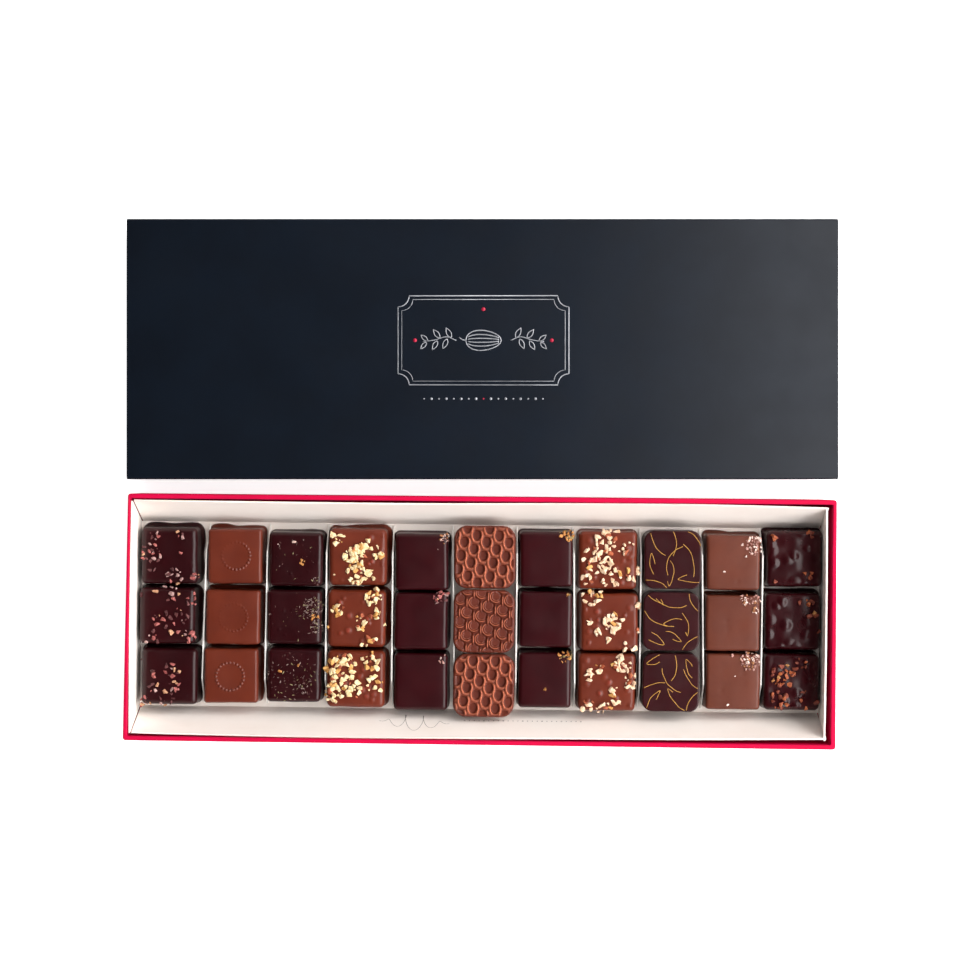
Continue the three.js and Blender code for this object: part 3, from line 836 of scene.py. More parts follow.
class PRALINES_OT_studio(bpy.types.Operator):
    """Makes the table, the softboxes, the dim surroundings and the camera straight above"""

    bl_idname = "pralines.studio"
    bl_label = "Studio"

    CAMERA_FROM_TRAY = (-0.00079, 0.05675)
    TABLE = 6.0
    TABLE_GLOW, WORLD_GLOW = 0.75, 1.3
    KEY, KEY_SIZE, KEY_TINT = (0.85, 0.0, 0.78), (2.2, 0.8), (1.0, 0.985, 0.97)
    OVERHEAD, OVERHEAD_SIZE = (0.0, 0.0, 1.8), (3.4, 3.4)
    BACK, FRONT, SIDE_SIZE = (0.5, 1.1, 1.5), (0.5, -1.1, 1.5), (1.2, 1.2)

    def execute(self, context):
        settings = context.scene.praline_studio
        self.camera(context.scene, settings)
        self.table()
        softbox("Key softbox", self.KEY, self.KEY_SIZE, settings.key_power, self.KEY_TINT)
        diffusers = (
            softbox("Overhead diffuser", self.OVERHEAD, self.OVERHEAD_SIZE, settings.top_power),
            softbox("Back diffuser", self.BACK, self.SIDE_SIZE, settings.side_power),
            softbox("Front diffuser", self.FRONT, self.SIDE_SIZE, settings.side_power),
        )
        for diffuser in diffusers:
            diffuser.visible_glossy = False
        self.surroundings(context.scene)
        context.scene.view_settings.view_transform = "Standard"
        return {"FINISHED"}

    def camera(self, scene, settings):
        """The camera straight above, turned a little about its axis."""
        data = bpy.data.cameras.new("Camera")
        data.lens = settings.camera_lens
        camera = bpy.data.objects.new("Camera", data)
        x, y = tray_middle()
        dx, dy = self.CAMERA_FROM_TRAY
        camera.location = (x * MM + dx, y * MM + dy, settings.camera_height)
        camera.rotation_euler = (0, 0, settings.camera_roll)
        scene.collection.objects.link(camera)
        scene.camera = camera

    def table(self):
        """A wide pale table with a glow of its own, which stands for a bright sweep."""
        half = self.TABLE / 2
        corners = [(-half, -half, 0), (half, -half, 0), (half, half, 0), (-half, half, 0)]
        mesh = bpy.data.meshes.new("table")
        mesh.from_pydata(corners, [], [(0, 1, 2, 3)])
        mesh.materials.append(
            finish(
                "Pale table", (0.93, 0.93, 0.93, 1), (0.91, 0.91, 0.91, 1), between=(0.35, 0.65),
                gloss=(0.8, 0.9, 5), Emission_Color=(1, 1, 1, 1), Emission_Strength=self.TABLE_GLOW,
            )
        )
        table = bpy.data.objects.new("table", mesh)
        bpy.context.scene.collection.objects.link(table)

    def surroundings(self, scene):
        """A glow from the right near the horizon, and dark overhead, so that flat faces keep their depth."""
        world = bpy.data.worlds.new("Surroundings")
        scene.world = world
        world.use_nodes = True
        tree = world.node_tree
        place = tree.nodes.new("ShaderNodeTexCoord")
        split = tree.nodes.new("ShaderNodeSeparateXYZ")
        share = tree.nodes.new("ShaderNodeMath")
        share.operation = "MULTIPLY"
        background = tree.nodes["Background"].inputs
        wire(
            tree,
            (place.outputs["Generated"], split.inputs["Vector"]),
            (ranged(tree, split.outputs["X"], -0.4, 1.0, 0.0, 1.0), share.inputs[0]),
            (ranged(tree, split.outputs["Z"], 0.25, 0.75, self.WORLD_GLOW, 0.0), share.inputs[1]),
            (share.outputs["Value"], background["Strength"]),
        )
        background["Color"].default_value = (1, 1, 1, 1)


# Tray, liner, dividers


class PRALINES_OT_tray(bpy.types.Operator):
    """Makes the crimson tray with its rounded rim"""

    bl_idname = "pralines.tray"
    bl_label = "Tray"

    CORNER, INNER_CORNER = 1.2, 0.5
    STEPS = 6

    def execute(self, context):
        settings = context.scene.praline_board
        _, size, _ = middle_and_size("tray")
        origin = tray_middle()
        outside = [(x + origin[0], y + origin[1]) for x, y in RIM_OUTSIDE]
        inside = [(x + origin[0], y + origin[1]) for x, y in RIM_INSIDE]
        soft = settings.edge_radius / MM
        bend = [math.pi / 2 * step / 4 for step in range(5)]
        foot = ((soft, 0.0), (0.3 * soft, 0.3 * soft), (0.0, soft))
        rings = [self.loop(outside, inset, z) for inset, z in foot]
        for a in reversed(bend):
            rings.append(self.loop(outside, soft * (1 - math.sin(a)), size.z - soft * (1 - math.cos(a))))
        for a in bend:
            z = size.z - soft * (1 - math.cos(a))
            rings.append(self.loop(inside, -soft * (1 - math.sin(a)), z, inner=True))
        rings.append(self.loop(inside, 0.0, BOARD + soft, inner=True))
        rings.append(self.loop(inside, soft, BOARD, inner=True))
        points, faces = capped_loft(rings)
        paper = finish(
            "Crimson paper", settings.crimson, linear((182, 2, 54)), mottle=60,
            gloss=(0.42, 0.55, 90), grain=(1400, 0.00003, 0.5), Specular_IOR_Level=0.1,
        )
        tray = new_object("tray_board", points, faces, [paper], "crimson_board")
        sharpen(tray, 50)
        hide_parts("tray")
        return {"FINISHED"}

    def loop(self, corners, inset, z, inner=False):
        """A loop of the wall at one height, at a depth inside its outer or inner outline."""
        radius = max((self.INNER_CORNER if inner else self.CORNER) - inset, 0.3)
        return corner_loop(corners, inset, radius, self.STEPS, z)


class Panel:
    """A long sloped panel of the liner, with its distances counted from the tray's middle."""

    TOP = 26.5

    def __init__(self, side, fold, mouth, bows):
        self.side, self.fold, self.run = side, fold, mouth - fold
        self.rise = self.TOP - LINER_FLOOR
        self.slant = math.hypot(self.run, self.rise)
        self.bows = smooth_path(bows, 6)

    def at(self, x, share, lift):
        """A place on the card's face, a share of the way up, and lifted off it towards the pralines."""
        bow = np.interp(x, self.bows[:, 0], self.bows[:, 1])
        out = self.fold + self.run * share + bow * share**2
        y = self.side * (out - lift * self.rise / self.slant)
        z = LINER_FLOOR + self.rise * share + lift * self.run / self.slant
        return np.column_stack(np.broadcast_arrays(x, y, z))


BACK_PANEL = Panel(1, 38.0, 46.65, [
    (-141, -0.05), (-127, -0.17), (-73, -0.28), (-21, -0.22), (32, 0.44), (85, 0.7), (129, 0.15), (141, -0.1)
])
FRONT_PANEL = Panel(-1, 38.9, 47.55, [
    (-141, -0.5), (-127, -0.21), (-73, 0.42), (-21, 0.4), (32, 0.02), (85, -0.3), (129, -0.9), (141, -1.1)
])


class PRALINES_OT_liner(bpy.types.Operator):
    """Folds the liner out of one card, its long panels a little bowed, and gives the dividers their card"""

    bl_idname = "pralines.liner"
    bl_label = "Liner and dividers"

    LEFT, RIGHT, CARD, SLIT = -142.3, 142.15, 0.7, 0.4
    BULGE, RIGHT_LEAN = 0.25, 1.5
    STATIONS, STEPS, ACROSS = 72, 7, 13

    def execute(self, context):
        settings = context.scene.praline_board
        deep, deep_strip = linear((244, 233, 225)), linear((236, 232, 226))
        card = card_finish("Cream card", settings.card, deep, 40, Specular_IOR_Level=0.3)
        strip = card_finish("White card", settings.strip, deep_strip, 60, Specular_IOR_Level=0.3)
        folded = Join()
        folded.add(*self.channel())
        cut = self.CARD + self.SLIT
        folded.add(*self.flap(self.LEFT, 1))
        folded.add(*self.flap(self.RIGHT, -1))
        for start in (self.LEFT + 0.5, self.RIGHT - cut - 0.1):
            folded.add(*self.bridge(start, start + cut - 0.4))
        x, y = tray_middle()
        folded.points = [points + np.array([x, y, 0.0]) for points in folded.points]
        liner = folded.made("liner_card", [card], "cream_card")
        sharpen(liner, 25)
        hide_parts("liner")
        for node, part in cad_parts.items():
            if node.startswith("divider_"):
                part.data.materials.clear()
                part.data.materials.append(strip)
        return {"FINISHED"}

    def channel(self):
        """The floor and the two long panels in one piece, between the cuts."""
        cut = self.CARD + self.SLIT
        shares = np.linspace(0, 1, self.STEPS)
        under = LINER_FLOOR - self.CARD
        rings = []
        for x in np.linspace(self.LEFT + cut, self.RIGHT - cut, self.STATIONS):
            ring = [(x, -FRONT_PANEL.fold, under), (x, BACK_PANEL.fold, under)]
            ring += BACK_PANEL.at(x, shares[1:], -self.CARD).tolist()
            ring += BACK_PANEL.at(x, shares[::-1], 0.0).tolist()
            ring += FRONT_PANEL.at(x, shares, 0.0).tolist()
            ring += FRONT_PANEL.at(x, shares[:0:-1], -self.CARD).tolist()
            rings.append(ring)
        return capped_loft(rings)

    def flap(self, outer, inward):
        """An end flap, folded up at the end of the floor, its long upright sides free."""
        rings = []
        arch = np.sin(math.pi * np.arange(self.ACROSS) / (self.ACROSS - 1))
        for share in np.linspace(0, 1, self.STEPS):
            z = LINER_FLOOR + BACK_PANEL.rise * share
            front = FRONT_PANEL.fold + FRONT_PANEL.run * share
            back = BACK_PANEL.fold + BACK_PANEL.run * share
            ys = np.linspace(-front, back, self.ACROSS)
            bulge = -self.BULGE * inward * share**2 * arch
            if inward < 0:
                bulge = bulge - self.RIGHT_LEAN * share
            near = [(outer + dx, y, z) for dx, y in zip(bulge, ys)]
            far = [(outer + dx + inward * self.CARD, y, z) for dx, y in zip(bulge, ys)]
            ring = near + far[::-1]
            rings.append(ring if inward < 0 else ring[::-1])
        return capped_loft(rings)

    def bridge(self, start, end):
        """The floor where it runs on to an end flap between the two cuts."""
        under, over = LINER_FLOOR - self.CARD, LINER_FLOOR - 0.02
        front, back = -FRONT_PANEL.fold, BACK_PANEL.fold
        corners = ((front, under), (back, under), (back, over), (front, over))
        return capped_loft([[(x, y, z) for y, z in corners] for x in (start, end)])


class PRALINES_OT_flourish(bpy.types.Operator):
    """Draws a hairline flourish and a row of dots on the liner's front panel"""

    bl_idname = "pralines.flourish"
    bl_label = "Liner flourish"

    WIDTH, DOT_WIDTH = 0.2, 0.22
    LIFT, SINK = 0.02, 0.04

    # The flourish's loops, and where it and the row of dots lie: along the tray, and a share up the panel

    LOOPS, LOOP_WIDTH, LOOP_REACH, LENGTH = 4, 1.6, 7.0, 29.0
    PLACE, SHARE = (-26.7, 0.5), 25.5
    DOTS, DOT_SPAN, DOT_PLACE = 25, 48.0, (18.0, 0.42)

    def execute(self, context):
        ink = finish(
            "Grey hairline", linear((150, 136, 130)), linear((132, 118, 112)), mottle=500,
            gloss=(0.6, 0.7, 300), grain=(1500, 0.00002, 0.3),
        )
        lines = Join()
        lines.add(*ribbon(self.flourish(), self.WIDTH, self.lay, self.LIFT, self.SINK))
        turns = np.linspace(0, 2 * math.pi, 9)[:-1]
        for spot in np.linspace(-0.5, 0.5, self.DOTS):
            size = 0.5 if round(spot * (self.DOTS - 1)) % 4 == 0 else 0.28
            dot = np.column_stack([np.cos(turns), np.sin(turns) * 1.6]) * size / 2
            dot += (self.DOT_PLACE[0] + spot * self.DOT_SPAN, self.DOT_PLACE[1] * self.SHARE)
            lines.add(*ribbon(dot, self.DOT_WIDTH, self.lay, self.LIFT, self.SINK, closed=True))
        lines.made("liner_flourish", [ink], "cream_card")
        return {"FINISHED"}

    def flourish(self):
        """A line that winds through a few loops and runs out at both ends."""
        along = np.linspace(-0.5, 0.5, 120)
        turn = along * 2 * math.pi * self.LOOPS
        swell = np.cos(along * math.pi) ** 1.5
        x = along * self.LENGTH + self.LOOP_WIDTH * swell * np.sin(turn)
        y = self.LOOP_REACH * swell * np.cos(turn) + 2.0 * along
        return np.column_stack([x + self.PLACE[0], y + self.PLACE[1] * self.SHARE])

    def lay(self, points, lift):
        x, y = tray_middle()
        return FRONT_PANEL.at(points[:, 0], points[:, 1] / self.SHARE, lift) + np.array([x, y, 0.0])


# Sleeve

SLEEVE_TURN = math.radians(0.67)


def sleeve_size():
    """Middle, length, depth and height of the sleeve before it was turned, from its box."""
    middle, size, _ = middle_and_size("sleeve")
    cos, sin = math.cos(SLEEVE_TURN), math.sin(SLEEVE_TURN)
    length = (size.x * cos - size.y * sin) / (cos**2 - sin**2)
    depth = (size.y * cos - size.x * sin) / (cos**2 - sin**2)
    return middle, length, depth, size.z


def on_sleeve(points, middle):
    """Points from the sleeve's own frame to the row's."""
    cos, sin = math.cos(SLEEVE_TURN), math.sin(SLEEVE_TURN)
    x, y, z = points.T
    return np.column_stack([middle.x + cos * x - sin * y, middle.y + sin * x + cos * y, z])


class PRALINES_OT_sleeve(bpy.types.Operator):
    """Makes the navy slip-on sleeve, a tube of wrapped board with a pale lining"""

    bl_idname = "pralines.sleeve"
    bl_label = "Sleeve"

    WALL = 1.6
    CORNER, INNER_CORNER = 1.0, 0.5
    TURN_IN = 14.0
    STEPS = 5

    def execute(self, context):
        settings = context.scene.praline_board
        middle, length, depth, height = sleeve_size()
        stations = self.stations(length / 2, settings.edge_radius / MM)
        rings = []
        for along, inset in stations:
            outer = inset < self.WALL / 2
            corner = max(self.CORNER - inset, 0.3) if outer else self.INNER_CORNER + (self.WALL - inset)
            loop = rounded_ring(depth - 2 * inset, height - 2 * inset, corner, self.STEPS, 0)
            rings.append([(along, y, z + height / 2) for y, z, _ in loop])
        count = len(rings[0])
        points = np.array([point for ring in rings for point in ring])
        faces = skin(count, len(rings), closed=True)
        looks = []
        for level in range(len(rings)):
            looks += [0 if self.wrapped(stations, level) else 1] * count
        paper = finish(
            "Navy paper", settings.navy, linear((10, 16, 25)), mottle=35,
            gloss=(0.4, 0.46, 70), grain=(1800, 0.00003, 0.5), Specular_IOR_Level=0.2,
        )
        lining = card_finish("Sleeve lining", settings.lining, linear((202, 196, 188)), 60, 1800)
        points = on_sleeve(points, middle)
        sleeve = new_object("sleeve_board", points, faces, [paper, lining], "navy_board", looks)
        sharpen(sleeve, 50)
        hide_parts("sleeve")
        return {"FINISHED"}

    def stations(self, half, radius):
        """Places along the tube and how far in the skin lies there: out over the top, back inside."""
        wall = self.WALL
        soft = 0.3 * radius
        return [
            (-half + radius, 0.0), (half - radius, 0.0), (half - soft, soft), (half, radius),
            (half, wall - radius), (half - soft, wall - soft), (half - radius, wall),
            (half - self.TURN_IN, wall), (half - self.TURN_IN - 0.1, wall + 0.08),
            (-half + self.TURN_IN + 0.1, wall + 0.08), (-half + self.TURN_IN, wall),
            (-half + radius, wall), (-half + soft, wall - soft), (-half, wall - radius),
            (-half, radius), (-half + soft, soft),
        ]

    def wrapped(self, stations, level):
        """The wrapping paper covers the outside and is turned in a little way at each end."""
        here, after = stations[level], stations[(level + 1) % len(stations)]
        return min(here[1], after[1]) <= self.WALL and not (here[1] > self.WALL and after[1] > self.WALL)


class PRALINES_OT_emblem(bpy.types.Operator):
    """Lays a silver foil emblem on the sleeve: a cocoa pod between leaves, in a frame with scooped corners"""

    bl_idname = "pralines.emblem"
    bl_label = "Sleeve emblem"

    FRAME, SCOOP, INNER_GAP = (69.0, 36.0), 4.5, 1.5
    CENTRE = (0.4, 3.5)
    POD = (7.2, 4.0)
    DOTS, DOT_SPAN, DOT_DROP = 17, 48.0, 23.6

    # A sprig's stem, and its leaves: where each one starts, its length and its turn in degrees

    STEM = ((11.0, 0.0), (15.0, 1.4), (19.5, 0.2), (24.5, -0.6))
    LEAVES = (
        (13.0, 1.0, 4.6, 62), (14.6, 0.6, 4.4, -66), (17.6, 0.9, 4.4, 52),
        (18.6, -0.2, 4.2, -60), (22.4, -0.3, 3.8, 40), (23.0, -0.8, 3.6, -48),
    )

    def execute(self, context):
        settings = context.scene.praline_board
        self.middle, _, _, self.height = sleeve_size()
        width = settings.foil_width / MM
        foil, accents = Join(), Join()
        for inset, thick in ((0.0, width), (self.INNER_GAP, 0.55 * width)):
            self.line(foil, self.frame_path(inset), thick, closed=True)
        for path, closed in self.pod():
            self.line(foil, path, width, closed)
        for side in (-1, 1):
            for path in self.sprig(side):
                self.line(foil, path, 0.8 * width)
            self.dot(accents, (side * 27.6, 0.0), 0.75)
        self.dot(accents, (0.0, 12.6), 0.8)
        for k in range(self.DOTS):
            x = self.DOT_SPAN * (k / (self.DOTS - 1) - 0.5)
            self.dot(accents if k == self.DOTS // 2 else foil, (x, -self.DOT_DROP), 0.55 if k % 2 else 0.35)
        silver = finish(
            "Silver foil", settings.silver, linear((150, 152, 158)), mottle=300,
            gloss=(0.38, 0.5, 200), grain=(1800, 0.00002, 0.3), Metallic=0.5,
        )
        red = finish(
            "Crimson foil", linear((190, 20, 60)), linear((160, 14, 48)), mottle=300,
            gloss=(0.4, 0.5, 200), grain=(1800, 0.00002, 0.3),
        )
        foil.made("sleeve_emblem", [silver], "silver_foil")
        accents.made("sleeve_accents", [red], "crimson_board")
        return {"FINISHED"}

    def line(self, heap, path, width, closed=False):
        heap.add(*ribbon(path, width, self.lay, closed=closed))

    def dot(self, heap, at, radius):
        turns = np.linspace(0, 2 * math.pi, 13)[:-1]
        ring = np.column_stack([np.cos(turns), np.sin(turns)]) * radius + at
        heap.add(*capped_loft([self.lay(ring, lift).tolist() for lift in (-SINK, LIFT)]))

    def lay(self, points, lift):
        """Points of the emblem onto the sleeve's upper face, lifted off it."""
        flat = points + np.array(self.CENTRE)
        return on_sleeve(np.column_stack([flat, np.full(len(flat), self.height + lift)]), self.middle)

    def frame_path(self, inset):
        """A rectangle whose corners are scooped out by quarter circles."""
        half_x, half_y = self.FRAME[0] / 2 - inset, self.FRAME[1] / 2 - inset
        path = []
        for quarter in range(4):
            middle = (quarter + 0.5) * math.pi / 2
            x, y = math.copysign(half_x, math.cos(middle)), math.copysign(half_y, math.sin(middle))
            for step in range(9):
                angle = quarter * math.pi / 2 + (1.5 - step / 16) * math.pi
                path.append((x + self.SCOOP * math.cos(angle), y + self.SCOOP * math.sin(angle)))
        return np.array(path)

    def pod(self):
        """A cocoa pod lying on its side: its outline, its ribs and its stalk."""
        length, girth = self.POD
        along = np.linspace(-1, 1, 33)
        swell = np.sqrt(np.clip(1 - along**2, 0, 1)) * (1 - 0.18 * along)
        upper = np.column_stack([along * length, swell * girth])
        lower = np.column_stack([along[::-1][1:-1] * length, -swell[::-1][1:-1] * girth])
        yield np.vstack([upper, lower]), True
        for share in (-0.58, -0.2, 0.2, 0.58):
            rib = along[2:-2]
            yield np.column_stack([rib * length, share * np.interp(rib, along, swell) * girth]), False
        yield smooth_path([(-length, 0), (-length - 1.4, 0.3), (-length - 2.6, 1.2)], 5), False

    def sprig(self, side):
        """A stem that runs out from the pod, with leaves in pairs."""
        yield smooth_path(self.STEM) * (side, 1)
        t = np.linspace(0, 1, 12)
        bulge = 0.21 * np.sin(math.pi * t) * (1.2 - 0.5 * t)
        back = np.column_stack([t[::-1][1:-1], -bulge[::-1][1:-1]])
        outline = np.vstack([np.column_stack([t, bulge]), back])
        for x, y, size, turn in self.LEAVES:
            angle = math.radians(turn)
            cos, sin = math.cos(angle), math.sin(angle)
            leaf = outline * size
            leaf = np.column_stack([cos * leaf[:, 0] - sin * leaf[:, 1], sin * leaf[:, 0] + cos * leaf[:, 1]])
            yield (np.vstack([leaf, leaf[:1]]) + (x, y)) * (side, 1)


# Pralines


def chocolate(context, name, kind, gloss_shift=0.0, lighter=1.0, **sockets):
    """A chocolate finish; kind is milk, pale or dark."""
    settings = context.scene.praline_chocolate
    light, deep = getattr(settings, kind), getattr(settings, f"{kind}_deep")
    light, deep = [tuple(channel * lighter for channel in colour[:3]) + (1.0,) for colour in (light, deep)]
    low = settings.gloss + gloss_shift
    return finish(
        name, light, deep, mottle=90, gloss=(low, low + 0.08, 130),
        grain=(420, 0.00005, 0.2), Specular_IOR_Level=0.34, **sockets,
    )


def make_lane(lane, material):
    """The three pralines of a lane, each in the place of its node."""
    slot = "milk_chocolate" if lane in MILK_LANES else "dark_chocolate"
    for row in range(1, ROWS + 1):
        piece = PIECES[lane, row]
        points, faces = praline_skin(piece)
        made = new_object(f"piece_{lane}_{row}", points, faces, [material], slot)
        made.data.polygons[len(faces) - 1].use_smooth = False
        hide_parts(piece.node)


class PRALINES_OT_coated(bpy.types.Operator):
    """Makes the pralines coated in poured chocolate, milk and dark"""

    bl_idname = "pralines.coated"
    bl_label = "Coated pralines"

    def execute(self, context):
        milk = chocolate(context, "Milk coat", "milk", lighter=0.94)
        pale = chocolate(context, "Milk coat, pale", "pale", 0.04)
        thin = chocolate(context, "Milk coat, thin", "milk", crest=(linear((128, 50, 36)), 16.15, 16.6))
        dark = chocolate(context, "Dark coat", "dark")
        deepest = chocolate(context, "Dark coat, deep", "dark", lighter=0.74)
        glossy = chocolate(context, "Dark coat, glossy", "dark", -0.04, 0.9)
        coats = {1: deepest, 2: milk, 3: deepest, 4: thin, 8: thin, 10: pale, 11: glossy}
        for lane in FORMS:
            if lane not in MOULDED_LANES:
                make_lane(lane, coats.get(lane, dark))
        return {"FINISHED"}


class PRALINES_OT_scaled(bpy.types.Operator):
    """Makes the moulded pralines with the scale relief"""

    bl_idname = "pralines.scaled"
    bl_label = "Scale-relief pralines"

    def execute(self, context):
        # The lighter colour on the ridges above 17 mm is a painted highlight for the light that the ridges
        # catch
        crest = linear((168, 92, 66)), 17.0, 17.9
        make_lane(SCALE_LANE, chocolate(context, "Moulded milk", "milk", 0.12, 0.85, crest=crest))
        return {"FINISHED"}


class PRALINES_OT_printed(bpy.types.Operator):
    """Makes the moulded dark pralines and the loose strokes printed on them"""

    bl_idname = "pralines.printed"
    bl_label = "Printed pralines"

    STROKES = 9
    SEED = 43

    def execute(self, context):
        make_lane(PRINT_LANE, chocolate(context, "Moulded dark", "dark", 0.02, 0.95))
        ink = finish(
            "Ochre print", linear((192, 146, 58)), linear((166, 118, 40)), mottle=500,
            gloss=(0.45, 0.6, 300), grain=(1500, 0.00002, 0.3),
        )
        width = context.scene.praline_topping.line_width / MM
        rng = np.random.default_rng(self.SEED)
        lines = Join()
        for row in range(1, ROWS + 1):
            piece = PIECES[PRINT_LANE, row]
            for k in range(self.STROKES):
                path = self.on_face(piece, self.stroke(rng, k) * piece.half)
                if len(path) > 6:
                    lines.add(*ribbon(path, width, piece.lay, lift=0.02))
        lines.made("print_strokes", [ink], "ochre_print")
        return {"FINISHED"}

    def stroke(self, rng, k):
        """A loose stroke in its own cell of a three by three grid, with at most one sharp turn."""
        cell = np.array([(k % 3 - 1) * 0.66, (k // 3 - 1) * 0.66]) + rng.uniform(-0.16, 0.16, 2)
        heading = rng.uniform(0, 2 * math.pi)
        swing = rng.choice([-1, 1])
        sharp = int(rng.integers(1, 8))
        knots = [np.zeros(2)]
        for leg in range(6):
            way = np.array([math.cos(heading), math.sin(heading)])
            knots.append(knots[-1] + rng.uniform(0.14, 0.24) * way)
            heading += swing * (rng.uniform(2.1, 2.6) if leg == sharp else rng.uniform(0.05, 0.4))
        knots = np.array(knots)
        return smooth_path(knots - knots.mean(axis=0) + cell, 6)

    def on_face(self, piece, path):
        """The longest stretch of a stroke that lies on the face."""
        on = piece.inside(path[:, 0], path[:, 1]) > 0.3
        runs = np.split(path, np.flatnonzero(np.diff(on.astype(int))) + 1)
        return max(runs[0 if on[0] else 1::2], key=len, default=path[:0])


# Toppings


class Topping:
    """One kind of scattered bit: its size in millimetres, its shape and the shares of its colours."""

    def __init__(
        self, name, slot, length, seed, patches, shares, width=0.8, flat=0.6, corners=10, crumbs=0.25
    ):
        self.name, self.slot, self.length, self.seed = name, slot, length, seed
        self.patches, self.shares = patches, shares
        self.width, self.flat, self.corners, self.crumbs = width, flat, corners, crumbs

    def scatter(self, materials, amount):
        """Bits over every patch, each patch a middle and a spread in half widths, and a count."""
        rng = np.random.default_rng(self.seed)
        heap = Join()
        for (lane, row), spots in self.patches.items():
            piece = PIECES[lane, row]
            taken = []
            for x, y, spread, count in spots:
                for _ in range(round(count * amount)):
                    self.one(heap, rng, piece, (x, y), spread, taken)
        heap.made(self.name, [materials[name] for name in self.shares], self.slot, smooth=False)

    def one(self, heap, rng, piece, middle, spread, taken):
        """One bit, whole or a crumb, that lies on the face or hangs on the piece's side."""
        crumb = rng.uniform() < self.crumbs
        length = self.length * (rng.uniform(0.35, 0.6) if crumb else rng.uniform(0.75, 1.3))
        at = self.free_place(rng, piece, middle, spread, taken, length)
        taken.append((at, length))
        width = length * self.width * rng.uniform(0.8, 1.2)
        flat = length * self.flat * rng.uniform(0.75, 1.2)
        points, faces = shard(rng, length, width, flat, self.corners)
        points = turned(points, rng.uniform(0, 2 * math.pi), rng.normal(0, 0.3))
        outside = max(abs(at[0]) - piece.half[0], abs(at[1]) - piece.half[1])
        height = float(piece.face(np.float64(at[0]), np.float64(at[1]))) - max(0.0, outside) * 2.0
        points = points + np.array([at[0], at[1], height + flat * 0.22])
        look = int(rng.choice(len(self.shares), p=list(self.shares.values())))
        heap.add(piece.place(points), faces, look)

    def free_place(self, rng, piece, middle, spread, taken, length):
        """A place in the patch that is clear of other bits, or the last one tried."""
        at = np.zeros(2)
        for _ in range(16):
            angle, far = rng.uniform(0, 2 * math.pi), spread * math.sqrt(rng.uniform())
            at = np.array([middle[0] + far * math.cos(angle), middle[1] + far * math.sin(angle)]) * piece.half
            at = np.clip(at, -piece.half - 0.3, piece.half + 0.3)
            if all(math.hypot(*(at - other)) > 0.42 * (length + its) for other, its in taken):
                break
        return at


TOASTED_PATCHES = {
    (4, 1): [(-0.72, 0.65, 0.2, 7), (-0.1, 0.0, 0.42, 34), (0.3, 0.42, 0.18, 5), (-0.05, -0.6, 0.32, 12),
             (0.62, 0.1, 0.25, 6), (0.4, -0.62, 0.22, 4), (-0.85, -0.6, 0.05, 1)],
    (4, 2): [(0.55, 0.78, 0.3, 18), (0.66, 0.15, 0.2, 6), (-0.65, 0.32, 0.22, 9), (0.15, -0.12, 0.25, 9),
             (0.4, -0.75, 0.25, 5), (0.98, -0.2, 0.04, 2), (-0.96, -0.3, 0.02, 1)],
    (4, 3): [(-0.5, 0.35, 0.5, 38), (-0.75, -0.5, 0.32, 22), (-0.1, -0.35, 0.3, 12), (0.5, 0.6, 0.32, 11),
             (0.65, -0.2, 0.3, 7)],
}
PALE_PATCHES = {
    (8, 1): [(-0.35, 0.05, 0.5, 32), (-0.1, 0.62, 0.34, 12), (0.5, 0.4, 0.15, 4), (0.9, -0.45, 0.25, 7),
             (0.1, -0.55, 0.35, 11), (-0.7, -0.7, 0.2, 5), (0.8, 0.6, 0.12, 2), (0.0, 0.98, 0.3, 4)],
    (8, 2): [(-0.6, 0.92, 0.32, 14), (0.12, -0.02, 0.34, 24), (-0.7, 0.0, 0.1, 2), (-0.4, -0.32, 0.14, 3),
             (1.0, 0.55, 0.1, 3), (1.0, -0.3, 0.08, 2), (-0.1, -0.62, 0.12, 2), (0.7, -0.8, 0.25, 3)],
    (8, 3): [(0.5, 0.62, 0.32, 16), (0.85, 0.05, 0.25, 10), (-0.62, 0.25, 0.2, 6), (-0.3, 0.5, 0.15, 4),
             (0.2, -0.3, 0.2, 5), (-0.65, -0.8, 0.22, 6), (0.35, -0.72, 0.12, 3), (-0.1, -0.98, 0.3, 6)],
}
NIB_PATCHES = {
    (1, 1): [(-0.62, 0.08, 0.36, 16), (-0.55, 0.65, 0.25, 5), (0.42, 0.74, 0.14, 3), (0.2, -0.72, 0.28, 8),
             (0.92, -0.75, 0.14, 5), (-0.6, -0.55, 0.14, 2), (0.42, 0.1, 0.05, 1)],
    (1, 2): [(0.0, 0.75, 0.45, 6), (0.3, -0.15, 0.45, 12), (-0.28, -0.1, 0.22, 5), (0.8, -0.7, 0.24, 7),
             (-0.5, -0.82, 0.3, 5), (0.92, 0.6, 0.22, 5), (-0.86, 0.72, 0.05, 1)],
    (1, 3): [(0.12, 0.22, 0.28, 7), (-0.56, 0.06, 0.1, 3), (0.2, -0.35, 0.2, 6), (-0.1, -0.82, 0.3, 6),
             (-0.85, -0.92, 0.2, 8), (-0.5, -0.4, 0.2, 4), (-1.0, 0.57, 0.02, 1)],
    (5, 2): [(0.72, 0.85, 0.26, 16)],
}
